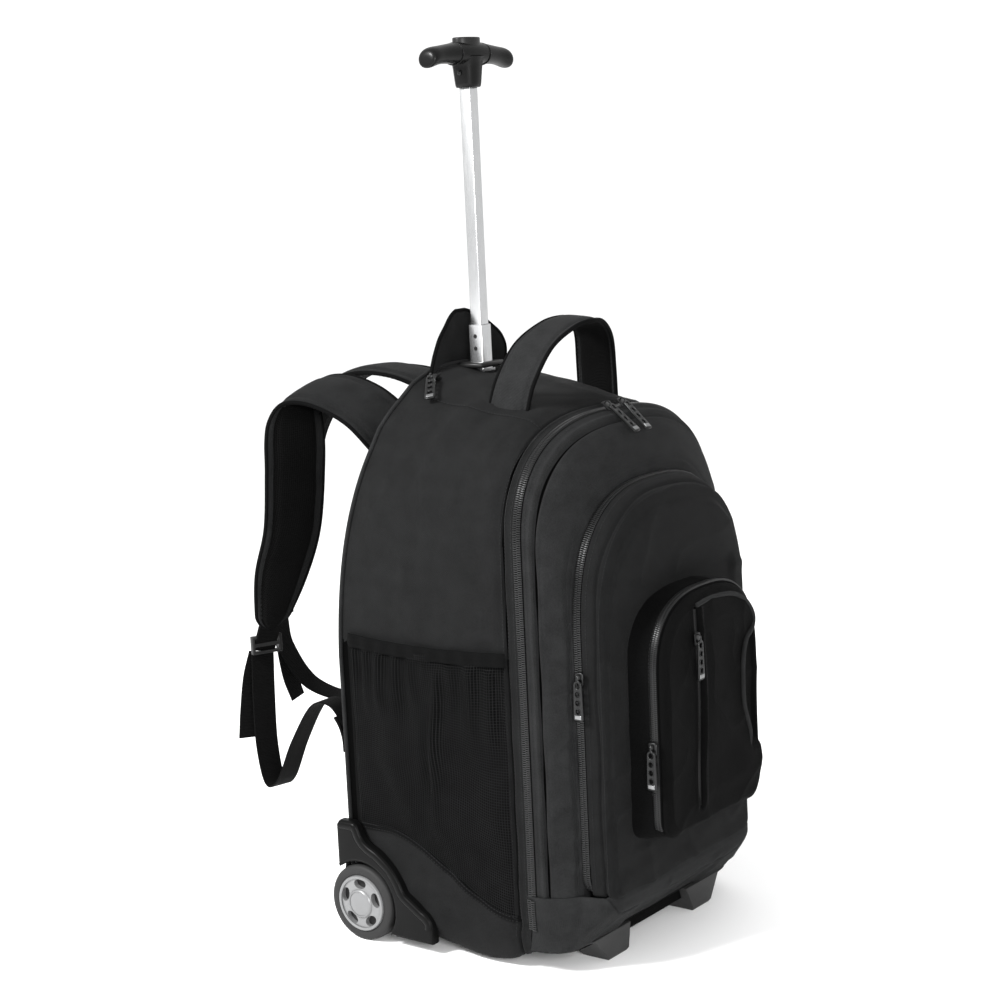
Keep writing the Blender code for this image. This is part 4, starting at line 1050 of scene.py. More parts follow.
def zips():
    tub = (0.155, 0.026, 0.400, 0.513)
    comp = (0.130, 0.0755, 0.318, 0.451)
    pouch = (0.0855, 0.125, 0.276, 0.350)
    middle = TUB_FRONT - 1.5 * GAP - CHAIN
    zip_half("main_zip_rear_teeth", middle + 0.5 * CHAIN + 0.00015, tub, 0.0745, "bag",
             "main_zip_rear_half", 0.0)
    zip_half("main_zip_front_teeth", middle - 0.5 * CHAIN - 0.00015, tub, 0.0745, "front_panel",
             "main_zip_front_half", 0.5)
    for side, word in SIDES:
        z = np.linspace(0.0742, 0.0440, 30)
        for half, shift, offset in (("rear", 0.5, 0.0), ("front", -0.5, 0.5)):
            line = joined(side * 0.1574, middle + shift * CHAIN, z)
            line[:, 0] -= side * 0.0012 * ease(0.070, 0.044, z)
            chain(f"main_zip_foot_{half}_{word}", line, (side, 0, 0), "bag", None, offset)
    middle = LID_FRONT - 1.5 * GAP - CHAIN
    zip_half("compartment_zip_rear_teeth", middle + 0.5 * CHAIN + 0.00015, comp, 0.0800, "front_panel",
             "compartment_zip_rear_half", 0.0)
    zip_half("compartment_zip_front_teeth", middle - 0.5 * CHAIN - 0.00015, comp, 0.0800,
             "front_compartment", "compartment_zip_front_half", 0.5)
    middle = -0.2940 - 0.5 * CHAIN
    for k, (word, shift) in enumerate((("rear", 0.0015), ("front", -0.0015))):
        zip_half(f"pouch_zip_{word}_teeth", middle + shift, pouch, 0.135, "front_compartment",
                 "pouch_zip_chain" if k else None, 0.5 * k, pitch=0.0019, rise=0.0014)


SLIDERS = {
    "main_zip_left": ((-0.0130, -0.2060, 0.5152), (0, -0.66, 0.75), (0.08, -0.75, -0.66), "front_panel"),
    "main_zip_right": ((0.0120, -0.2060, 0.5152), (0, -0.66, 0.75), (-0.08, -0.75, -0.66), "front_panel"),
    "compartment_zip": ((-0.1318, -0.2475, 0.2850), (-1, 0, 0), (0, 0, -1), "compartment_slider"),
    "pouch_zip": ((-0.0892, -0.2960, 0.2150), (-1, 0, 0), (0, 0, -1), "pouch_slider"),
    "slit_zip": ((-0.0360, -0.3102, 0.3080), (0, -1, 0), (0, 0, -1), "slit_slider"),
    "hood_zip": ((-0.0660, -0.0400, 0.5425), (-0.5, -0.1, 0.86), (-0.60, -0.45, -0.50), "bag"),
}
PULLS = {"main_zip_left": "main_left_pull", "main_zip_right": "main_right_pull",
         "compartment_zip": "compartment_pull", "pouch_zip": "pouch_pull", "slit_zip": "slit_pull",
         "hood_zip": "hood_pull"}


def facing(out, down, place):
    """Axes with local Z outward and local Y up against the way the puller hangs."""
    z = Vector(out).normalized()
    y = -Vector(down).normalized()
    y = (y - z * y.dot(z)).normalized()
    turn = Matrix((y.cross(z), y, z)).transposed().to_4x4()
    return Matrix.Translation(place) @ turn


def disc(radius, y, count):
    turns = around(count)
    return [(radius * math.cos(t), y + radius * math.sin(t)) for t in turns]


def pull_outline(half, length):
    """A puller's outline: narrow and round at its pin, a little wider at its solid end."""
    turns = np.linspace(0, np.pi, 13)
    top = [(0.86 * half * math.cos(t), -0.86 * half + 0.86 * half * math.sin(t)) for t in turns]
    corner, low, wide = 0.0022, -length, 1.04 * half
    foot = [(-wide, low + corner), (-wide + 0.3 * corner, low + 0.3 * corner), (-wide + corner, low),
            (wide - corner, low), (wide - 0.3 * corner, low + 0.3 * corner), (wide, low + corner)]
    return top + foot


def zip_hardware():
    """Every zip's slider, and its puller with four holes and a bright pad, on their own bodies."""
    wing = [(-0.0046, 0.0050), (-0.0028, 0.0060), (0.0028, 0.0060), (0.0046, 0.0050),
            (0.0040, -0.0048), (0.0026, -0.0058), (-0.0026, -0.0058), (-0.0040, -0.0048)]
    bow = spline([(0, a, h) for a, h in ((0.0042, 0.0026), (0.0040, 0.0048), (0.0016, 0.0062),
                                         (-0.0012, 0.0058), (-0.0030, 0.0044), (-0.0034, 0.0028))], 16)
    length, half = 0.038, 0.0052
    hole_places = [-0.0050 - k * (length - 0.014) / 3 for k in range(4)]
    pad_top, pad_foot = -length + 0.0056, -length + 0.0018
    for name, (place, out, down, carrier) in SLIDERS.items():
        turn = facing(out, down, place)
        body = plate(f"{name}_slider_body", [wing], 0.0010, 0.0030, turn, carrier, "gunmetal", 0.0007)
        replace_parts(body, f"{name}_slider")
        line = np.array([turn @ Vector(p) for p in bow])
        side = turn.to_3x3() @ Vector((1, 0, 0))
        sweep(f"{name}_slider_bridge", line, np.cross(np.gradient(line, axis=0), side),
              round_profile(0.0022, 0.0013, 8), "gunmetal", carrier)
        pin = Vector(place) + Vector(out).normalized() * 0.0042 + Vector(down).normalized() * 0.0005
        turn = facing(out, down, pin)
        holes = [disc(0.0025, y, 20) for y in hole_places]
        puller = plate(f"{name}_puller", [pull_outline(half, length), *holes], 0.0, 0.0022, turn,
                       PULLS[name], "gunmetal", 0.0008)
        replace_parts(puller, f"{name}_pull")
        for k in range(1, 4):
            ring = disc(0.0029, hole_places[k], 24)
            line = np.array([turn @ Vector((x, y, 0.0021)) for x, y in ring + ring[:1]])
            sweep(f"{name}_puller_rim_{k}", line, np.array(turn.to_3x3() @ Vector((0, 0, 1))),
                  round_profile(0.0010, 0.0010, 6), "gunmetal", PULLS[name])
        corners = [(-0.0036, pad_foot), (0.0036, pad_foot), (0.0036, pad_top), (-0.0036, pad_top)]
        plate(f"{name}_puller_pad", [corners], 0.0019, 0.0029, turn, PULLS[name], "steel", 0.0005)


# ---------------------------------------------------------------- net pockets

POCKET_BACK, POCKET_FRONT = 0.0050, -0.1830
NET_PITCH, NET_THREAD = 0.0024, 0.0007


def pocket_foot(y):
    return 0.1150 - 0.0630 * ease(-0.030, -0.182, y)


def tub_side(side, y, z):
    """How far the tub's finished cloth stands from the centre plane at a place on its side."""
    deep = np.clip((y - TUB_FRONT) / (back_y(z) - TUB_FRONT), 0, 1)
    plain = mix(0.155, 0.153, deep) + 0.002 * np.sin(np.pi * deep)
    return plain + tub_relief(joined(side * plain, y, z))


def pocket_skin(u, v, side):
    """A pocket's net: u from back to front, v from its foot to its elastic top."""
    y = mix(POCKET_BACK, POCKET_FRONT, u)
    low, high = pocket_foot(y), 0.3010 - 0.0030 * np.sin(np.pi * u)
    z = mix(low, high, v)
    hold = np.sin(np.pi * u) ** 0.42 * np.minimum(1, 2.6 * v + 0.02) ** 0.6
    x = 0.1572 + 0.0078 * hold
    gather = ease(0.55, 0.90, v) * ease(0.99, 0.94, v)
    x += 0.0026 * gather * np.sin(2 * np.pi * 9.5 * u + 2.2 * np.sin(5 * u))
    x -= 0.0016 * ease(0.93, 0.98, v)
    ridge = 0.60 - 0.09 * (1 - v)
    x += 0.0052 * hold * bell(u, ridge, 0.026 + 0.012 * (1 - v)) * ease(0.02, 0.3, v) * ease(1.0, 0.88, v)
    x -= 0.0046 * hold * bell(u, ridge - 0.055, 0.034) * ease(0.10, 0.35, v) * ease(1.0, 0.88, v)
    x += 0.0024 * hold * np.sin(2 * np.pi * (3.2 * u + 0.6 * v) + 0.8) * ease(0.0, 0.25, v)
    x += 0.0020 * hold * np.sin(2 * np.pi * (1.4 * u - 2.6 * v)) * (0.4 + 0.6 * ease(0.95, 0.6, v))
    x += 0.0016 * hold * np.sin(2 * np.pi * (4.6 * u + 1.9 * v) + 2.0) * ease(0.5, 0.1, v)
    x = np.maximum(x, tub_side(side, y, z) + 0.0008)
    return joined(side * x, y, z)


def net(side, word):
    """Net cloth with real holes: a grid of threads on the pocket's surface."""
    across = int(abs(POCKET_FRONT - POCKET_BACK) / NET_PITCH)
    along = int(0.225 / NET_PITCH)
    share = NET_THREAD / NET_PITCH
    u = np.sort(np.concatenate([np.arange(across + 1), np.arange(across) + share])) / across
    v = np.sort(np.concatenate([np.arange(along + 1), np.arange(along) + share])) / along
    v2, u2 = np.meshgrid(v, u, indexing="ij")
    grid = pocket_skin(u2, v2, side)
    faces = grid_faces(len(v), len(u)).reshape(len(v) - 1, len(u) - 1, 4)
    j, i = np.meshgrid(np.arange(len(v) - 1), np.arange(len(u) - 1), indexing="ij")
    keep = (i % 2 == 0) | (j % 2 == 0)
    faces = faces[keep]
    points = grid.reshape(-1, 3)
    used = np.unique(faces)
    index = np.zeros(len(points), int)
    index[used] = np.arange(len(used))
    piece = make(f"net_{word}", points[used], index[faces], "net_thread", "bag",
                 lay=grid_lay(grid)[used], flip=side < 0)
    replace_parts(piece, f"mesh_pocket_{word}")
    corner = grid[1:, 1:] - grid[:-1, :-1]
    other = grid[:-1, 1:] - grid[1:, :-1]
    area = 0.5 * np.linalg.norm(np.cross(corner, other), axis=2)
    thread_area = float(area[keep].sum())
    width = length_of(grid[-1])
    height = length_of(grid[:, 3 * len(u) // 4])
    return piece, (round(width, 3), round(height, 3)), thread_area


def pocket(side, word):
    """A side pocket: its net, gathered into an elastic, and the tapes that hold it."""
    piece, flat, thread_area = net(side, word)
    u = np.linspace(0.0, 1.0, 160)
    line = pocket_skin(u, np.zeros_like(u), side)
    line[:, 0] = side * (tub_side(side, line[:, 1], line[:, 2]) + 0.0003)
    up = (side, 0.0, 0.0)
    tape = [(-0.0030, 0.0), (0.0030, 0.0), (0.0028, 0.0011), (-0.0028, 0.0011)]
    sweep(f"pocket_foot_tape_{word}", line, up, tape, "fabric_tape", "bag")
    for k, shift in enumerate((-0.0019, 0.0019)):
        row = line + np.array([side * 0.0011, 0, shift])
        stitches(f"pocket_foot_stitches_{word}_{k}", row, up, "bag")
    top = pocket_skin(u, np.ones_like(u), side)
    top[:, 0] = side * (0.1590 + 0.0052 * np.sin(np.pi * u) ** 0.42
                        + 0.0006 * np.sin(2 * np.pi * 9.5 * u))
    band = [(-0.0062, -0.0010), (0.0062, -0.0010), (0.0064, 0.0006), (0.0030, 0.0014), (0.0004, 0.0008),
            (-0.0022, 0.0014), (-0.0062, 0.0007)]
    sweep(f"pocket_elastic_{word}", top, up, band, "fabric_tape", "bag")
    v = np.linspace(0, 1, 120)
    for end, share in (("back", 0.0), ("front", 1.0)):
        edge = pocket_skin(np.full_like(v, share), v, side)
        edge[:, 0] = side * (tub_side(side, edge[:, 1], edge[:, 2]) + 0.0002)
        sweep(f"pocket_{end}_tape_{word}", edge, up, tape, "fabric_tape", "bag")


# ---------------------------------------------------------------- straps, handle, hood, back pads

NEAR_PAD = ((-0.0470, 0.0110, 0.470, 0, 48, 1.0), (-0.0510, 0.0330, 0.490, 6, 46, 1.0),
            (-0.0560, 0.0570, 0.511, 10, 32, 1.0), (-0.0620, 0.0820, 0.5235, 14, 26, 1.0),
            (-0.0710, 0.1060, 0.5285, 14, 17, 1.0), (-0.0820, 0.1190, 0.5240, 6, 10, 1.0),
            (-0.0930, 0.1180, 0.5080, -8, 8, 1.0), (-0.0980, 0.1150, 0.4860, -18, 6, 1.0),
            (-0.0970, 0.1180, 0.4500, -18, 2, 1.0), (-0.1000, 0.1240, 0.3900, -18, -6, 0.95),
            (-0.1090, 0.1360, 0.3400, -24, -8, 0.82), (-0.1150, 0.1490, 0.2880, -24, 0, 0.46))
FAR_PAD = ((0.0360, 0.0080, 0.503, 0, 0, 1.0), (0.0340, 0.0300, 0.523, 0, 0, 1.0),
           (0.0280, 0.0700, 0.537, 0, 0, 1.0), (0.0180, 0.1150, 0.537, 2, 0, 1.0),
           (0.0080, 0.1550, 0.516, 2, 0, 0.96), (0.0000, 0.1830, 0.476, 2, 0, 0.90),
           (-0.0040, 0.1960, 0.430, 2, 0, 0.90), (-0.0070, 0.2040, 0.382, 2, 0, 0.86),
           (-0.0100, 0.2150, 0.330, 0, 0, 0.76), (-0.0130, 0.2260, 0.296, 0, 0, 0.50))
NEAR_WEB = ((-0.1170, 0.1610, 0.2600, -24, 0, 1.0), (-0.1180, 0.1620, 0.2150, -24, 0, 1.0),
            (-0.1200, 0.1600, 0.1650, -22, 0, 1.0), (-0.1240, 0.1480, 0.1280, -16, 0, 1.0),
            (-0.1280, 0.1280, 0.1350, -10, 0, 1.0), (-0.1320, 0.1020, 0.1800, -6, 0, 1.0),
            (-0.1340, 0.0720, 0.2220, 0, 0, 1.0), (-0.1340, 0.0480, 0.2260, 0, 0, 1.0),
            (-0.1340, 0.0300, 0.2080, 0, 0, 1.0))
FAR_WEB = ((-0.0150, 0.2300, 0.2700, 0, 0, 1.0), (-0.0100, 0.2270, 0.2350, 2, 0, 1.0),
           (0.0120, 0.2120, 0.1920, 4, 0, 1.0), (0.0480, 0.1780, 0.1720, 4, 0, 1.0),
           (0.0860, 0.1300, 0.1800, 0, 0, 1.0), (0.1140, 0.0860, 0.2050, 0, 0, 1.0),
           (0.1300, 0.0520, 0.2220, 0, 0, 1.0), (0.1340, 0.0300, 0.2080, 0, 0, 1.0))
NEAR_TAIL = ((-0.1175, 0.1640, 0.2620, -24, 0, 1.0), (-0.1200, 0.1720, 0.2350, -24, 0, 1.0),
             (-0.1210, 0.1780, 0.2000, -26, 4, 1.0), (-0.1200, 0.1830, 0.1690, -30, 6, 1.0))
FAR_TAIL = ((-0.0150, 0.2310, 0.2720, 0, 0, 1.0), (-0.0120, 0.2290, 0.2400, 0, 0, 1.0),
            (-0.0100, 0.2250, 0.2050, 4, 0, 1.0), (-0.0060, 0.2190, 0.1800, 8, 0, 1.0))


def strap_route(stations, count):
    """Places, width directions, outward directions and width shares along a strap."""
    rows = spline(stations, count)
    turn, tilt = np.radians(rows[:, 3]), np.radians(rows[:, 4])
    across = np.stack([np.cos(turn) * np.cos(tilt), np.sin(turn) * np.cos(tilt), np.sin(tilt)], -1)
    out = unit(np.cross(across, unit(np.gradient(rows[:, :3], axis=0))))
    return rows[:, :3], across, out, rows[:, 5]


def pad(name, route, width, thick, finishes, body, border=0.0085, rounded=True):
    """A padded strap: crowned cloth outside, air mesh with a cloth border inside."""
    line, across, out, share = route
    count = len(line)
    s = np.sin(np.linspace(-0.5 * np.pi, 0.5 * np.pi, 25))
    crown = 0.5 * thick * np.maximum(1 - np.abs(s) ** 2.6, 0) ** 0.6
    run = np.linspace(0, length_of(line), count)
    ends = np.ones(count)
    if rounded:
        reach = 0.5 * width * share[-1]
        near_end = np.clip((run[-1] - run) / reach, 0, 1)
        ends = np.sqrt(np.maximum(1 - (1 - near_end) ** 2, 0.02))
    half = 0.5 * width * share * ends
    channel = 1 - 0.55 * bell(np.abs(s), 1 - 2 * border / width, 0.07)
    grid = []
    for k in range(count):
        puff = 1 + 0.06 * math.sin(run[k] * 150) + 0.10 * math.sin(run[k] * 61 + 1)
        upper = line[k] + across[k] * (half[k] * s)[:, None] + out[k] * (crown * channel * puff)[:, None]
        lower = (line[k] + across[k] * (half[k] * s)[::-1, None]
                 - out[k] * (crown * channel * (2 - puff))[::-1, None])
        grid.append(np.vstack([upper, lower[1:-1]]))
    grid = np.array(grid)
    grid += ripples(grid, 0.030, 0.0011, 3.3)[..., None] * out[:, None]
    rows, columns = grid.shape[:2]
    faces = grid_faces(rows, columns, True)
    column = np.tile(np.arange(columns), rows - 1)
    inside = column >= len(s)
    back_s = np.abs(np.concatenate([s, s[::-1][1:-1]]))[column]
    marks = np.where(inside & (back_s < 1 - 2 * border / width), 1, 0)
    piece = make(name, grid.reshape(-1, 3), faces.tolist() + end_caps(rows, columns), finishes, body,
                 lay=grid_lay(grid), marks=np.append(marks, [0, 0]))
    lift, keep = 0.5 * thick * 0.62, slice(4, -6)
    for sign, word in SIDES:
        edge = line + across * (sign * half)[:, None]
        sweep(f"{name}_binding_{word}", edge, out, round_profile(0.0036, 0.0044, 10), "fabric_tape", body)
        inner = line + across * (sign * (half - 0.5 * border))[:, None]
        stitches(f"{name}_stitches_{word}", (inner - out * lift)[keep], -out[keep], body,
                 pitch=0.0046, length=0.0032)
    return piece


def ribbon(name, stations, width, body, thick=0.0016, node=None):
    """A length of webbing along a strap's route."""
    line, _, out, _ = strap_route(stations, 130)
    edge, flat, rise = 0.5 * width, 0.5 * width - 0.0006, 0.5 * thick
    profile = [(-edge, 0.0), (-flat, rise), (flat, rise), (edge, 0.0), (flat, -rise), (-flat, -rise)]
    piece = sweep(name, line, out, profile, "webbing", body)
    if node:
        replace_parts(piece, node)


def straps():
    for word, stations, node in (("left", NEAR_PAD, "shoulder_pad_left"),
                                 ("right", FAR_PAD, "shoulder_pad_right")):
        piece = pad(f"shoulder_strap_{word}", strap_route(stations, 170), 0.066, 0.0105,
                    ("fabric_strap", "air_mesh"), "bag")
        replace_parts(piece, node)
    for word, web, tail in (("left", NEAR_WEB, NEAR_TAIL), ("right", FAR_WEB, FAR_TAIL)):
        ribbon(f"webbing_{word}", web, 0.0250, "bag", node=f"strap_webbing_{word}")
        ribbon(f"webbing_tail_{word}", tail, 0.0250, "bag")
    tabs = (("left", (-0.1150, 0.1480, 0.2950), (-0.1168, 0.1590, 0.2640), -24),
            ("right", (-0.0128, 0.2250, 0.3020), (-0.0148, 0.2300, 0.2740), 0))
    for word, start, end, turn in tabs:
        rows = ((*start, turn, 0, 1.0), (*[mix(a, b, 0.5) for a, b in zip(start, end)], turn, 0, 1.0),
                (*end, turn, 0, 1.0))
        ribbon(f"strap_tab_{word}", rows, 0.0240, "bag", thick=0.0042)
        rounded_copy(f"strap_adjuster_{word}", 0.0008, "plastic_satin", "bag")
    for side, word in SIDES:
        x = side * 0.134
        rows = ((x, 0.0390, 0.2160, 0, 0, 1.0), (x, 0.0330, 0.2070, 0, 0, 1.0),
                (x, 0.0292, 0.1950, 0, 0, 1.0), (x, 0.0285, 0.1820, 0, 0, 1.0))
        ribbon(f"strap_anchor_{word}", rows, 0.0300, "bag", thick=0.0030)


def grab_handle():
    centre = [(-0.0780, -0.1345, 0.5050), (-0.0740, -0.1368, 0.5200), (-0.067, -0.141, 0.5450),
              (-0.050, -0.151, 0.5760), (-0.024, -0.161, 0.5930), (0.0, -0.165, 0.5970)]
    centre += [(-x, y, z) for x, y, z in reversed(centre[:-1])]
    line = spline(centre, 110)
    across = np.tile(np.array((0.0, 0.9985, 0.0545)), (len(line), 1))
    out = unit(np.cross(across, unit(np.gradient(line, axis=0))))
    out *= np.sign((out * (line - (0, -0.15, 0.50))).sum(1))[:, None]
    share = 1 - 0.10 * bell(np.linspace(-1, 1, len(line)), 0, 0.45)
    piece = pad("carry_handle", (line, across, out, share), 0.044, 0.0068,
                ("handle_cloth", "webbing"), "bag", border=0.0045, rounded=False)
    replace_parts(piece, "grab_handle")
    corners = [(0.0745, -0.1600), (0.0745, -0.1140), (0.0955, -0.1140), (0.0955, -0.1600)]
    for side, word in SIDES:
        foot = []
        for a, b in zip(corners, corners[1:] + corners[:1]):
            for t in np.linspace(0, 1, 14)[:-1]:
                foot.append((side * mix(a[0], b[0], t), mix(a[1], b[1], t)))
        top_stitches(f"handle_foot_box_{word}", np.array(foot), side)
        for k in range(2):
            t = np.linspace(0, 1, 20)[:, None]
            cross = mix(np.array(corners[k]), np.array(corners[k + 2]), t) * (side, 1)
            top_stitches(f"handle_foot_cross_{word}_{k}", cross, side)


def top_stitches(name, flat, side):
    """Fine stitches on the tub's top along (x, y) points."""
    stitches(name, top_place(flat) + (0, 0, STITCH_LIFT), (side * 0.5, 0, 0.87), "bag",
             pitch=0.0030, length=0.0020)


def top_place(flat):
    """Places on the tub's top above (x, y) points."""
    share = (flat[:, 1] - TUB_FRONT) / 0.19
    made = []
    for (x, y), guess in zip(flat, share):
        u = np.linspace(0.5, 0.72, 120) if x < 0 else np.linspace(0.5, 0.28, 120)
        ring = tub_skin(u, np.full_like(u, np.clip(guess, 0, 1)))
        height = tub_relief(ring)
        z = np.interp(abs(x), np.abs(ring[:, 0]), ring[:, 2] + 0.9 * height)
        made.append((x, y, z))
    return np.array(made)


def hood_skin(u, v):
    half = 0.060 * (1 - v) ** 0.75 + 0.008 * v
    x = mix(-half, half + 0.014 * np.sin(np.pi * v), u)
    y = -0.0240 - 0.004 * v - 3.0 * x * x - 0.0035 * np.sin(np.pi * v) * np.cos(np.pi * (u - 0.5))
    z = 0.5496 + 0.054 * v - 0.9 * x * x * (1 - v)
    return joined(x, y, z)


def hood():
    v, u = np.meshgrid(np.linspace(0, 1, 40), np.linspace(0, 1, 50), indexing="ij")
    grid = hood_skin(u, v)
    grid[..., 1] += ripples(grid, 0.020, 0.0018, 5.5)
    piece = shell("pole_hood_cloth", grid, 0.0024, "fabric_side", "hood")
    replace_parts(piece, "pole_hood")
    edge, normal = (np.vstack([part[:, 0], part[-1, 1:], part[-2::-1, -1]])
                    for part in (grid, grid_normals(grid, False)))
    piping("pole_hood_binding", spread(edge + normal * -0.0012, 150), (0, -1, 0.2), 0.0040, "hood",
           "fabric_tape")
    x = mix(-0.064, 0.064, np.linspace(0, 1, 90))
    line = joined(x, -0.0290 - 2.6 * x * x, 0.5512 - 1.75 * x * x)
    up = joined(0.28 * x / 0.064, -0.25, 0.95)
    chain("hood_zip_teeth", line, up, "bag", None, pitch=0.0019)
    tape = [(-0.0065, -0.0008), (0.0065, -0.0008), (0.0065, 0.0002), (-0.0065, 0.0002)]
    sweep("hood_zip_tape", line - up * 0.0010, up, tape, "fabric_tape", "bag")


def back_pads():
    """Air-mesh pads on the bag's back: two beside the spine, above and below, and one for the waist."""
    boxes = (("upper_left", -0.108, -0.020, 0.335, 0.475), ("upper_right", 0.020, 0.108, 0.335, 0.475),
             ("lower_left", -0.118, -0.020, 0.190, 0.322), ("lower_right", 0.020, 0.118, 0.190, 0.322),
             ("waist", -0.118, 0.118, 0.118, 0.176))
    s, t = np.meshgrid(np.linspace(-1, 1, 44), np.linspace(-1, 1, 44), indexing="ij")
    round_x = s * np.sqrt(1 - 0.5 * t ** 8 * 0.12)
    round_z = t * np.sqrt(1 - 0.5 * s ** 8 * 0.12)
    puff = (np.maximum(1 - s ** 6, 0) * np.maximum(1 - t ** 6, 0)) ** 0.5
    for word, x0, x1, z0, z1 in boxes:
        x, z = mix(x0, x1, 0.5 + 0.5 * round_x), mix(z0, z1, 0.5 + 0.5 * round_z)
        y = back_y(z) - 0.0016 + 0.0088 * puff
        grid = joined(x, y, z)
        top = grid + ripples(grid, 0.02, 0.0006, 2.0)[..., None] * (0, 1, 0)
        under = joined(x, back_y(z) - 0.0020, z)
        piece = wall(f"back_pad_{word}", top, under, "air_mesh", "bag")


# ---------------------------------------------------------------- base: guards, wheels, foot

def guard_edge(grow):
    """The guard's upper edge as (y, z) points, moved outward by grow."""
    ridge = spline([(0.0235, 0.1185), (0.0120, 0.1186), (0.0030, 0.1170), (-0.0040, 0.1040),
                    (-0.0120, 0.0975), (-0.0240, 0.0915), (-0.0390, 0.0800), (-0.0488, 0.0668),
                    (-0.0542, 0.0570), (-0.0605, 0.0524), (-0.0680, 0.0476), (-0.0750, 0.0430),
                    (-0.0812, 0.0396), (-0.0865, 0.0330), (-0.0870, 0.0260)], 70)
    along = unit(np.gradient(ridge, axis=0))
    normal = joined(along[:, 1], -along[:, 0])
    normal *= np.sign((normal * (ridge - (0, WHEEL_R))).sum(1)).mean().round() or 1
    return ridge + normal * grow


def guard(side, word):
    """The glossy corner guard over its moulded drum: a rounded plate with a raised ridge."""
    refinish(NODES[f"wheel_guard_{word}"].data, "plastic_gloss")
    ridge = guard_edge(0.0005)
    foot, back, radius = GUARD_FOOT - 0.0004, GUARD_BACK + 0.0004, WELL_R - 0.0002
    start = math.pi + math.asin((WHEEL_R - foot) / radius)
    arc = [(radius * math.cos(t), WHEEL_R + radius * math.sin(t))
           for t in np.linspace(start, math.acos(back / radius), 60)]
    outline = [(back, 0.1150), *ridge.tolist(), (-0.0873, foot), *arc]
    place = Matrix(((0, 0, 1, 0), (1, 0, 0, 0), (0, 1, 0, 0), (0, 0, 0, 1)))
    low, high = sorted((side * (GUARD_PLATE - 0.0006), side * (GUARD_OUT + 0.0006)))
    piece = plate(f"guard_cover_{word}", [outline], low, high, place, "bag", "plastic_gloss", 0.0026, 6)
    inner = guard_edge(-0.0042)
    line = joined(side * (GUARD_OUT - 0.0006), inner[:, 0], inner[:, 1])
    sweep(f"guard_ridge_{word}", line, (side, 0, 0), round_profile(0.0084, 0.0052, 16), "plastic_gloss",
          "bag")


def turned(name, profile, side, finish, body, count=96, closed=True):
    """A ring turned about the axle from a (radius, distance from the centre plane) profile."""
    profile = np.array(profile)
    turns = around(count)
    radius = profile[:, 0]
    grid = joined(side * profile[:, 1], radius * np.cos(turns)[:, None],
                  WHEEL_R + radius * np.sin(turns)[:, None])
    rows, columns = grid.shape[:2]
    faces = grid_faces(rows + 1, columns, closed) % (rows * columns)
    return make(name, grid.reshape(-1, 3), faces, finish, body)


def wheel(side, word):
    """A grooved tyre, a hub face with five oval recesses and a cap."""
    body = f"wheel_{word}"
    tyre = [(0.0282, 0.1438), (0.0345, 0.1420), (0.0366, 0.1424), (0.0376, 0.1440), (0.0380, 0.1462),
            (0.0380, 0.1512), (0.0376, 0.1516), (0.0376, 0.1526), (0.0380, 0.1530), (0.0380, 0.1580),
            (0.0376, 0.1584), (0.0376, 0.1594), (0.0380, 0.1598), (0.0380, 0.1644), (0.0376, 0.1664),
            (0.0366, 0.1680), (0.0345, 0.1688), (0.0300, 0.1690), (0.0282, 0.1682)]
    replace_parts(turned(f"tyre_tread_{word}", tyre, side, "rubber", body), f"tyre_{word}")
    hub = [(0.0122, 0.1430), (0.0262, 0.1430), (0.0279, 0.1440), (0.0279, 0.1690), (0.0272, 0.1702),
           (0.0258, 0.1706), (0.0246, 0.1700), (0.0252, 0.1688), (0.0146, 0.1698), (0.0140, 0.1712),
           (0.0130, 0.1719), (0.0122, 0.1719)]
    piece = turned(f"hub_face_{word}", hub, side, "hub_paint", body)
    cutters = []
    for k in range(5):
        turn = math.radians(90 + 72 * k)
        out = np.array((0, math.cos(turn), math.sin(turn)))
        along = np.array((0, -math.sin(turn), math.cos(turn)))
        ring = [out * (0.0198 + 0.0048 * math.sin(t)) + along * 0.0074 * math.cos(t) + (0, 0, WHEEL_R)
                for t in around(28)]
        outline = [(p[1], p[2]) for p in ring]
        cutters.append(prism(f"spoke_cut_{word}_{k}", outline, side * 0.1640, side * 0.1800))
        # Dark discs on the recess floors paint the shade inside the recesses.
        make(f"spoke_recess_shade_{word}_{k}", [(side * 0.1643, y, z) for y, z in outline],
             [tuple(range(len(outline)))], "rubber", body, flip=side < 0)
    cut_away(piece, cutters)
    piece.data.shade_smooth()
    piece.data.set_sharp_from_angle(angle=math.radians(35))
    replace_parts(piece, f"wheel_hub_{word}")
    cap = [(0.0, 0.1690), (0.0122, 0.1690), (0.0122, 0.1712), (0.0108, 0.1716), (0.0, 0.1716)]
    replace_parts(turned(f"hub_cap_face_{word}", cap, side, "hub_paint", body, 64, False), f"hub_cap_{word}")


def base():
    for side, word in SIDES:
        guard(side, word)
        wheel(side, word)
    rounded_copy("front_foot", 0.0016, "plastic_foot", "bag")
    rounded_copy("axle_carrier", 0.0008, "plastic_satin", "bag")
    # A dark strip between the foot's legs paints the shade of the recess there.
    line = joined(np.linspace(-0.0585, 0.0585, 12), -0.2272, 0.0188)
    recess = [(-0.0060, 0.0), (0.0060, 0.0), (0.0052, 0.0008), (-0.0052, 0.0008)]
    sweep("foot_recess_shade", line, (0, -1, 0), recess, "air_mesh", "bag")
    for side, word in SIDES:
        rows = ((side * 0.1260, 0.0360, 0.0800, 0, 0, 1.0), (side * 0.1270, 0.0420, 0.0620, 0, 0, 1.0),
                (side * 0.1280, 0.0440, 0.0420, 0, 10, 0.9), (side * 0.1280, 0.0400, 0.0260, 0, 20, 0.7))
        ribbon(f"kick_flap_{word}", rows, 0.0260, "bag", thick=0.0030)


# ---------------------------------------------------------------- pole and grip

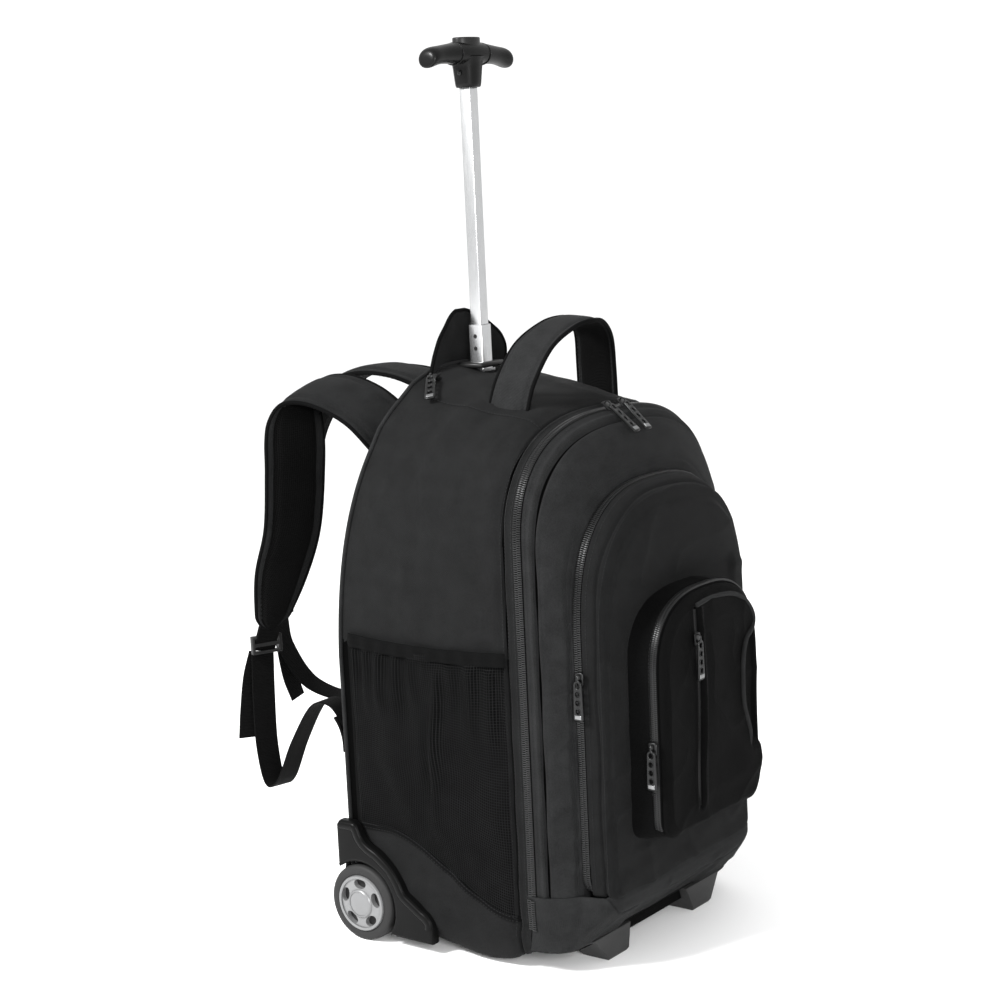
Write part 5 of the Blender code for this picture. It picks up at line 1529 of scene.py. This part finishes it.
def square_tube(name, width, low, high, body, node):
    """A drawn tube with a 1 mm wall and rounded corners."""
    outlines = []
    for half, bend in ((0.5 * width, 0.0012), (0.5 * width - 0.0010, 0.0003)):
        outline = []
        for quarter, (a, b) in enumerate(((1, 1), (-1, 1), (-1, -1), (1, -1))):
            for t in np.linspace(0, 0.5 * np.pi, 6):
                turn = t + quarter * 0.5 * np.pi
                outline.append((a * (half - bend) + bend * math.cos(turn),
                                POLE_Y + b * (half - bend) + bend * math.sin(turn)))
        outlines.append(outline)
    piece = plate(name, outlines, low, high, Matrix.Identity(4), body, "tube_metal", 0.0001, 1)
    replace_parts(piece, node)
    return piece


def pole():
    square_tube("inner_tube_drawn", 0.0130, 0.5000, GRIP_Z - 0.012, "inner_pole", "inner_tube")
    square_tube("middle_tube_drawn", 0.0160, 0.2500, 0.5900, "middle_pole", "middle_tube")
    refinish(NODES["outer_tube"].data, "tube_metal")
    for k, z in enumerate((0.5790, 0.5670)):
        rows = np.array([(-0.0075, POLE_Y, z), (-0.00822, POLE_Y, z)])
        sweep(f"middle_tube_rivet_{k}", rows, (0, 0, 1), round_profile(0.0042, 0.0042, 16), "plastic_satin",
              "middle_pole")
    rounded_copy("pole_mouth", 0.0008, "plastic_satin", "bag")
    rounded_copy("pole_socket", 0.0006, "plastic_satin", "bag")


def grip():
    """The T-shaped grip: an arched bar with drooping bulbous ends on a faceted collar."""
    stations = 72
    share = np.linspace(-1, 1, stations)
    reach = GRIP_HALF * np.sin(0.5 * np.pi * share)
    size = np.abs(share)
    droop = 0.0085 * size ** 2.2
    waist = 1 - 0.20 * np.sin(np.pi * size) ** 2
    end = np.sqrt(np.maximum(1 - (np.maximum(size - 0.58, 0) / 0.42) ** 2, 0.0))
    turns = around(40)
    soft = np.sign(np.cos(turns)) * np.abs(np.cos(turns)) ** 0.9
    grid = joined(reach[:, None], POLE_Y + (0.0137 * waist * end)[:, None] * soft,
                  (GRIP_Z + 0.0035 - droop)[:, None] + (0.0110 * waist * end)[:, None] * np.sin(turns))
    bar = grid_faces(stations, len(turns), True).tolist()
    points = grid.reshape(-1, 3).tolist()
    facets = ((-1, -0.55), (-0.55, -1), (0.55, -1), (1, -0.55), (1, 0.55), (0.55, 1), (-0.55, 1), (-1, 0.55))
    first = len(points)
    levels = ((0.0096, COLLAR_BOTTOM), (0.0107, COLLAR_BOTTOM + 0.0008), (0.0113, COLLAR_BOTTOM + 0.004),
              (0.0126, COLLAR_BOTTOM + 0.018), (0.0134, GRIP_Z - 0.004), (0.0150, GRIP_Z))
    for r, z in levels:
        points += [(a * r, POLE_Y + b * r, z) for a, b in facets]
    bar += grid_faces(len(levels), 8, True, first).tolist()
    deep = len(points)
    points += [(a * 0.0068, POLE_Y + b * 0.0068, COLLAR_BOTTOM) for a, b in facets]
    bar += [(first + (k + 1) % 8, first + k, deep + k, deep + (k + 1) % 8) for k in range(8)]
    piece = make("grip_moulding", points, bar, "grip_rubber", "inner_pole")
    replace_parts(piece, "grip")
    turns = np.linspace(0, 2 * np.pi, 49)
    for side, word in SIDES:
        ring = joined(side * 0.0215, POLE_Y + 0.0128 * np.cos(turns),
                      GRIP_Z + 0.0028 + 0.0104 * np.sin(turns))
        sweep(f"grip_parting_{word}", ring, (1, 0, 0), round_profile(0.0012, 0.0008, 6), "grip_rubber",
              "inner_pole")
    rim = [(0.0165 * math.cos(t), POLE_Y + 0.0112 * math.sin(t)) for t in around(48)]
    button = plate("grip_button_cap", [rim], 0.8545, 0.8665, Matrix.Identity(4), "button",
                   "plastic_satin", 0.0012)
    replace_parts(button, "grip_button")
    # A thin dark bar paints the shade of the screw's slot.
    slot = [(-0.0140, POLE_Y + a, 0.8330) for a in (-0.0016, 0.0016)]
    section = [(-0.0004, -0.0003), (0.0004, -0.0003), (0.0004, 0.0002), (-0.0004, 0.0002)]
    sweep("grip_screw_slot_shade", slot, (-1, 0, 0), section, "rubber", "inner_pole")


CARRIED = {
    "wheel_axle": "steel", "wheel_bush_left": "plastic_satin", "wheel_bush_right": "plastic_satin",
    "release_rod": "steel", "grip_screw": "gunmetal", "inner_tube_plug": "plastic_satin",
    "middle_tube_plug": "plastic_satin", "back_frame_board": "board", "lining_board": "lining",
    "base_board": "board",
}


def carried_over():
    """Finishes of the CAD nodes that are shown as they are."""
    for node, finish in CARRIED.items():
        refinish(NODES[node].data, finish)


def sleeve():
    """The laptop sleeve on the inner wall: soft foam cloth with a bound, dipped top edge."""
    low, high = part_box("laptop_sleeve")
    x, t = np.meshgrid(np.linspace(-1, 1, 60), np.linspace(0, 1, 60), indexing="ij")
    top = high.z - 0.018 * np.cos(0.5 * np.pi * x) ** 2
    face_y = low.y - BAG_Y + 0.001
    grid = joined(x * 0.5 * (high.x - low.x), face_y, mix(low.z, top, t))
    dip = -0.0022 * np.cos(0.5 * np.pi * x) * np.sin(np.pi * t)
    grid[..., 1] += dip + ripples(grid, 0.05, 0.0016, 1.1)
    edge = ease(0.90, 1.0, np.abs(x)) + ease(0.06, 0.0, t)
    grid[..., 1] += 0.026 * np.minimum(edge, 1)
    piece = shell("laptop_sleeve_cloth", grid, 0.0030, "lining", "bag")
    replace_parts(piece, "laptop_sleeve")
    piping("laptop_sleeve_binding", grid[:, -1], (0, -1, 0), 0.0040, "bag", "fabric_tape")


# ---------------------------------------------------------------- camera and light

def camera():
    """The photograph's view: its lens, place and turn were solved from the object's own points."""
    data = bpy.data.cameras.new("camera")
    data.lens = 76.32
    data.sensor_width = 36.0
    data.clip_end = 50.0
    holder = linked("camera", data)
    right, up = (0.59873, -0.79964, -0.04581), (0.16152, 0.06452, 0.98476)
    back = (-0.7845, -0.597, 0.16779)
    turn = Matrix((right, up, back)).transposed().to_4x4()
    holder.matrix_world = Matrix.Translation((-1.65236, -1.32256 + BAG_Y, 0.76890)) @ turn
    bpy.context.scene.camera = holder


def area_light(name, place, target, size, power):
    data = bpy.data.lights.new(name, "AREA")
    data.shape = "DISK"
    data.size = size
    data.energy = power
    holder = linked(name, data)
    holder.location = place
    holder.rotation_euler = (Vector(target) - Vector(place)).to_track_quat("-Z", "Y").to_euler()


def studio():
    """The white surround and floor of the photograph and its two soft lights."""
    world = bpy.data.worlds.new("studio")
    world.use_nodes = True
    background = world.node_tree.nodes["Background"]
    background.inputs["Color"].default_value = (1.0, 1.0, 1.0, 1.0)
    background.inputs["Strength"].default_value = 1.12
    bpy.context.scene.world = world
    bpy.context.scene.view_settings.view_transform = "Standard"
    area_light("key", (-1.9, 0.7, 2.0), (0, 0, 0.3), 0.7, 150)
    area_light("front", (-1.7, -2.0, 1.0), (0, 0, 0.3), 0.9, 60)
    bpy.ops.mesh.primitive_grid_add(size=14, x_subdivisions=2, y_subdivisions=2)
    floor = bpy.context.active_object
    floor.name = "floor"
    made = Nodes("floor", (0.93, 0.93, 0.93), 0.6, specular=0.2)
    made.roughness(made.noise(4.0, 2.0), 0.55, 0.65)
    floor.data.materials.append(made.material)


def build():
    make_materials()
    camera()
    studio()
    tub()
    tub_details()
    front_lid()
    front_compartment()
    small_pouch()
    base_band()
    zips()
    zip_hardware()
    for side, word in SIDES:
        pocket(side, word)
    straps()
    grab_handle()
    hood()
    back_pads()
    base()
    pole()
    grip()
    sleeve()
    carried_over()


build()
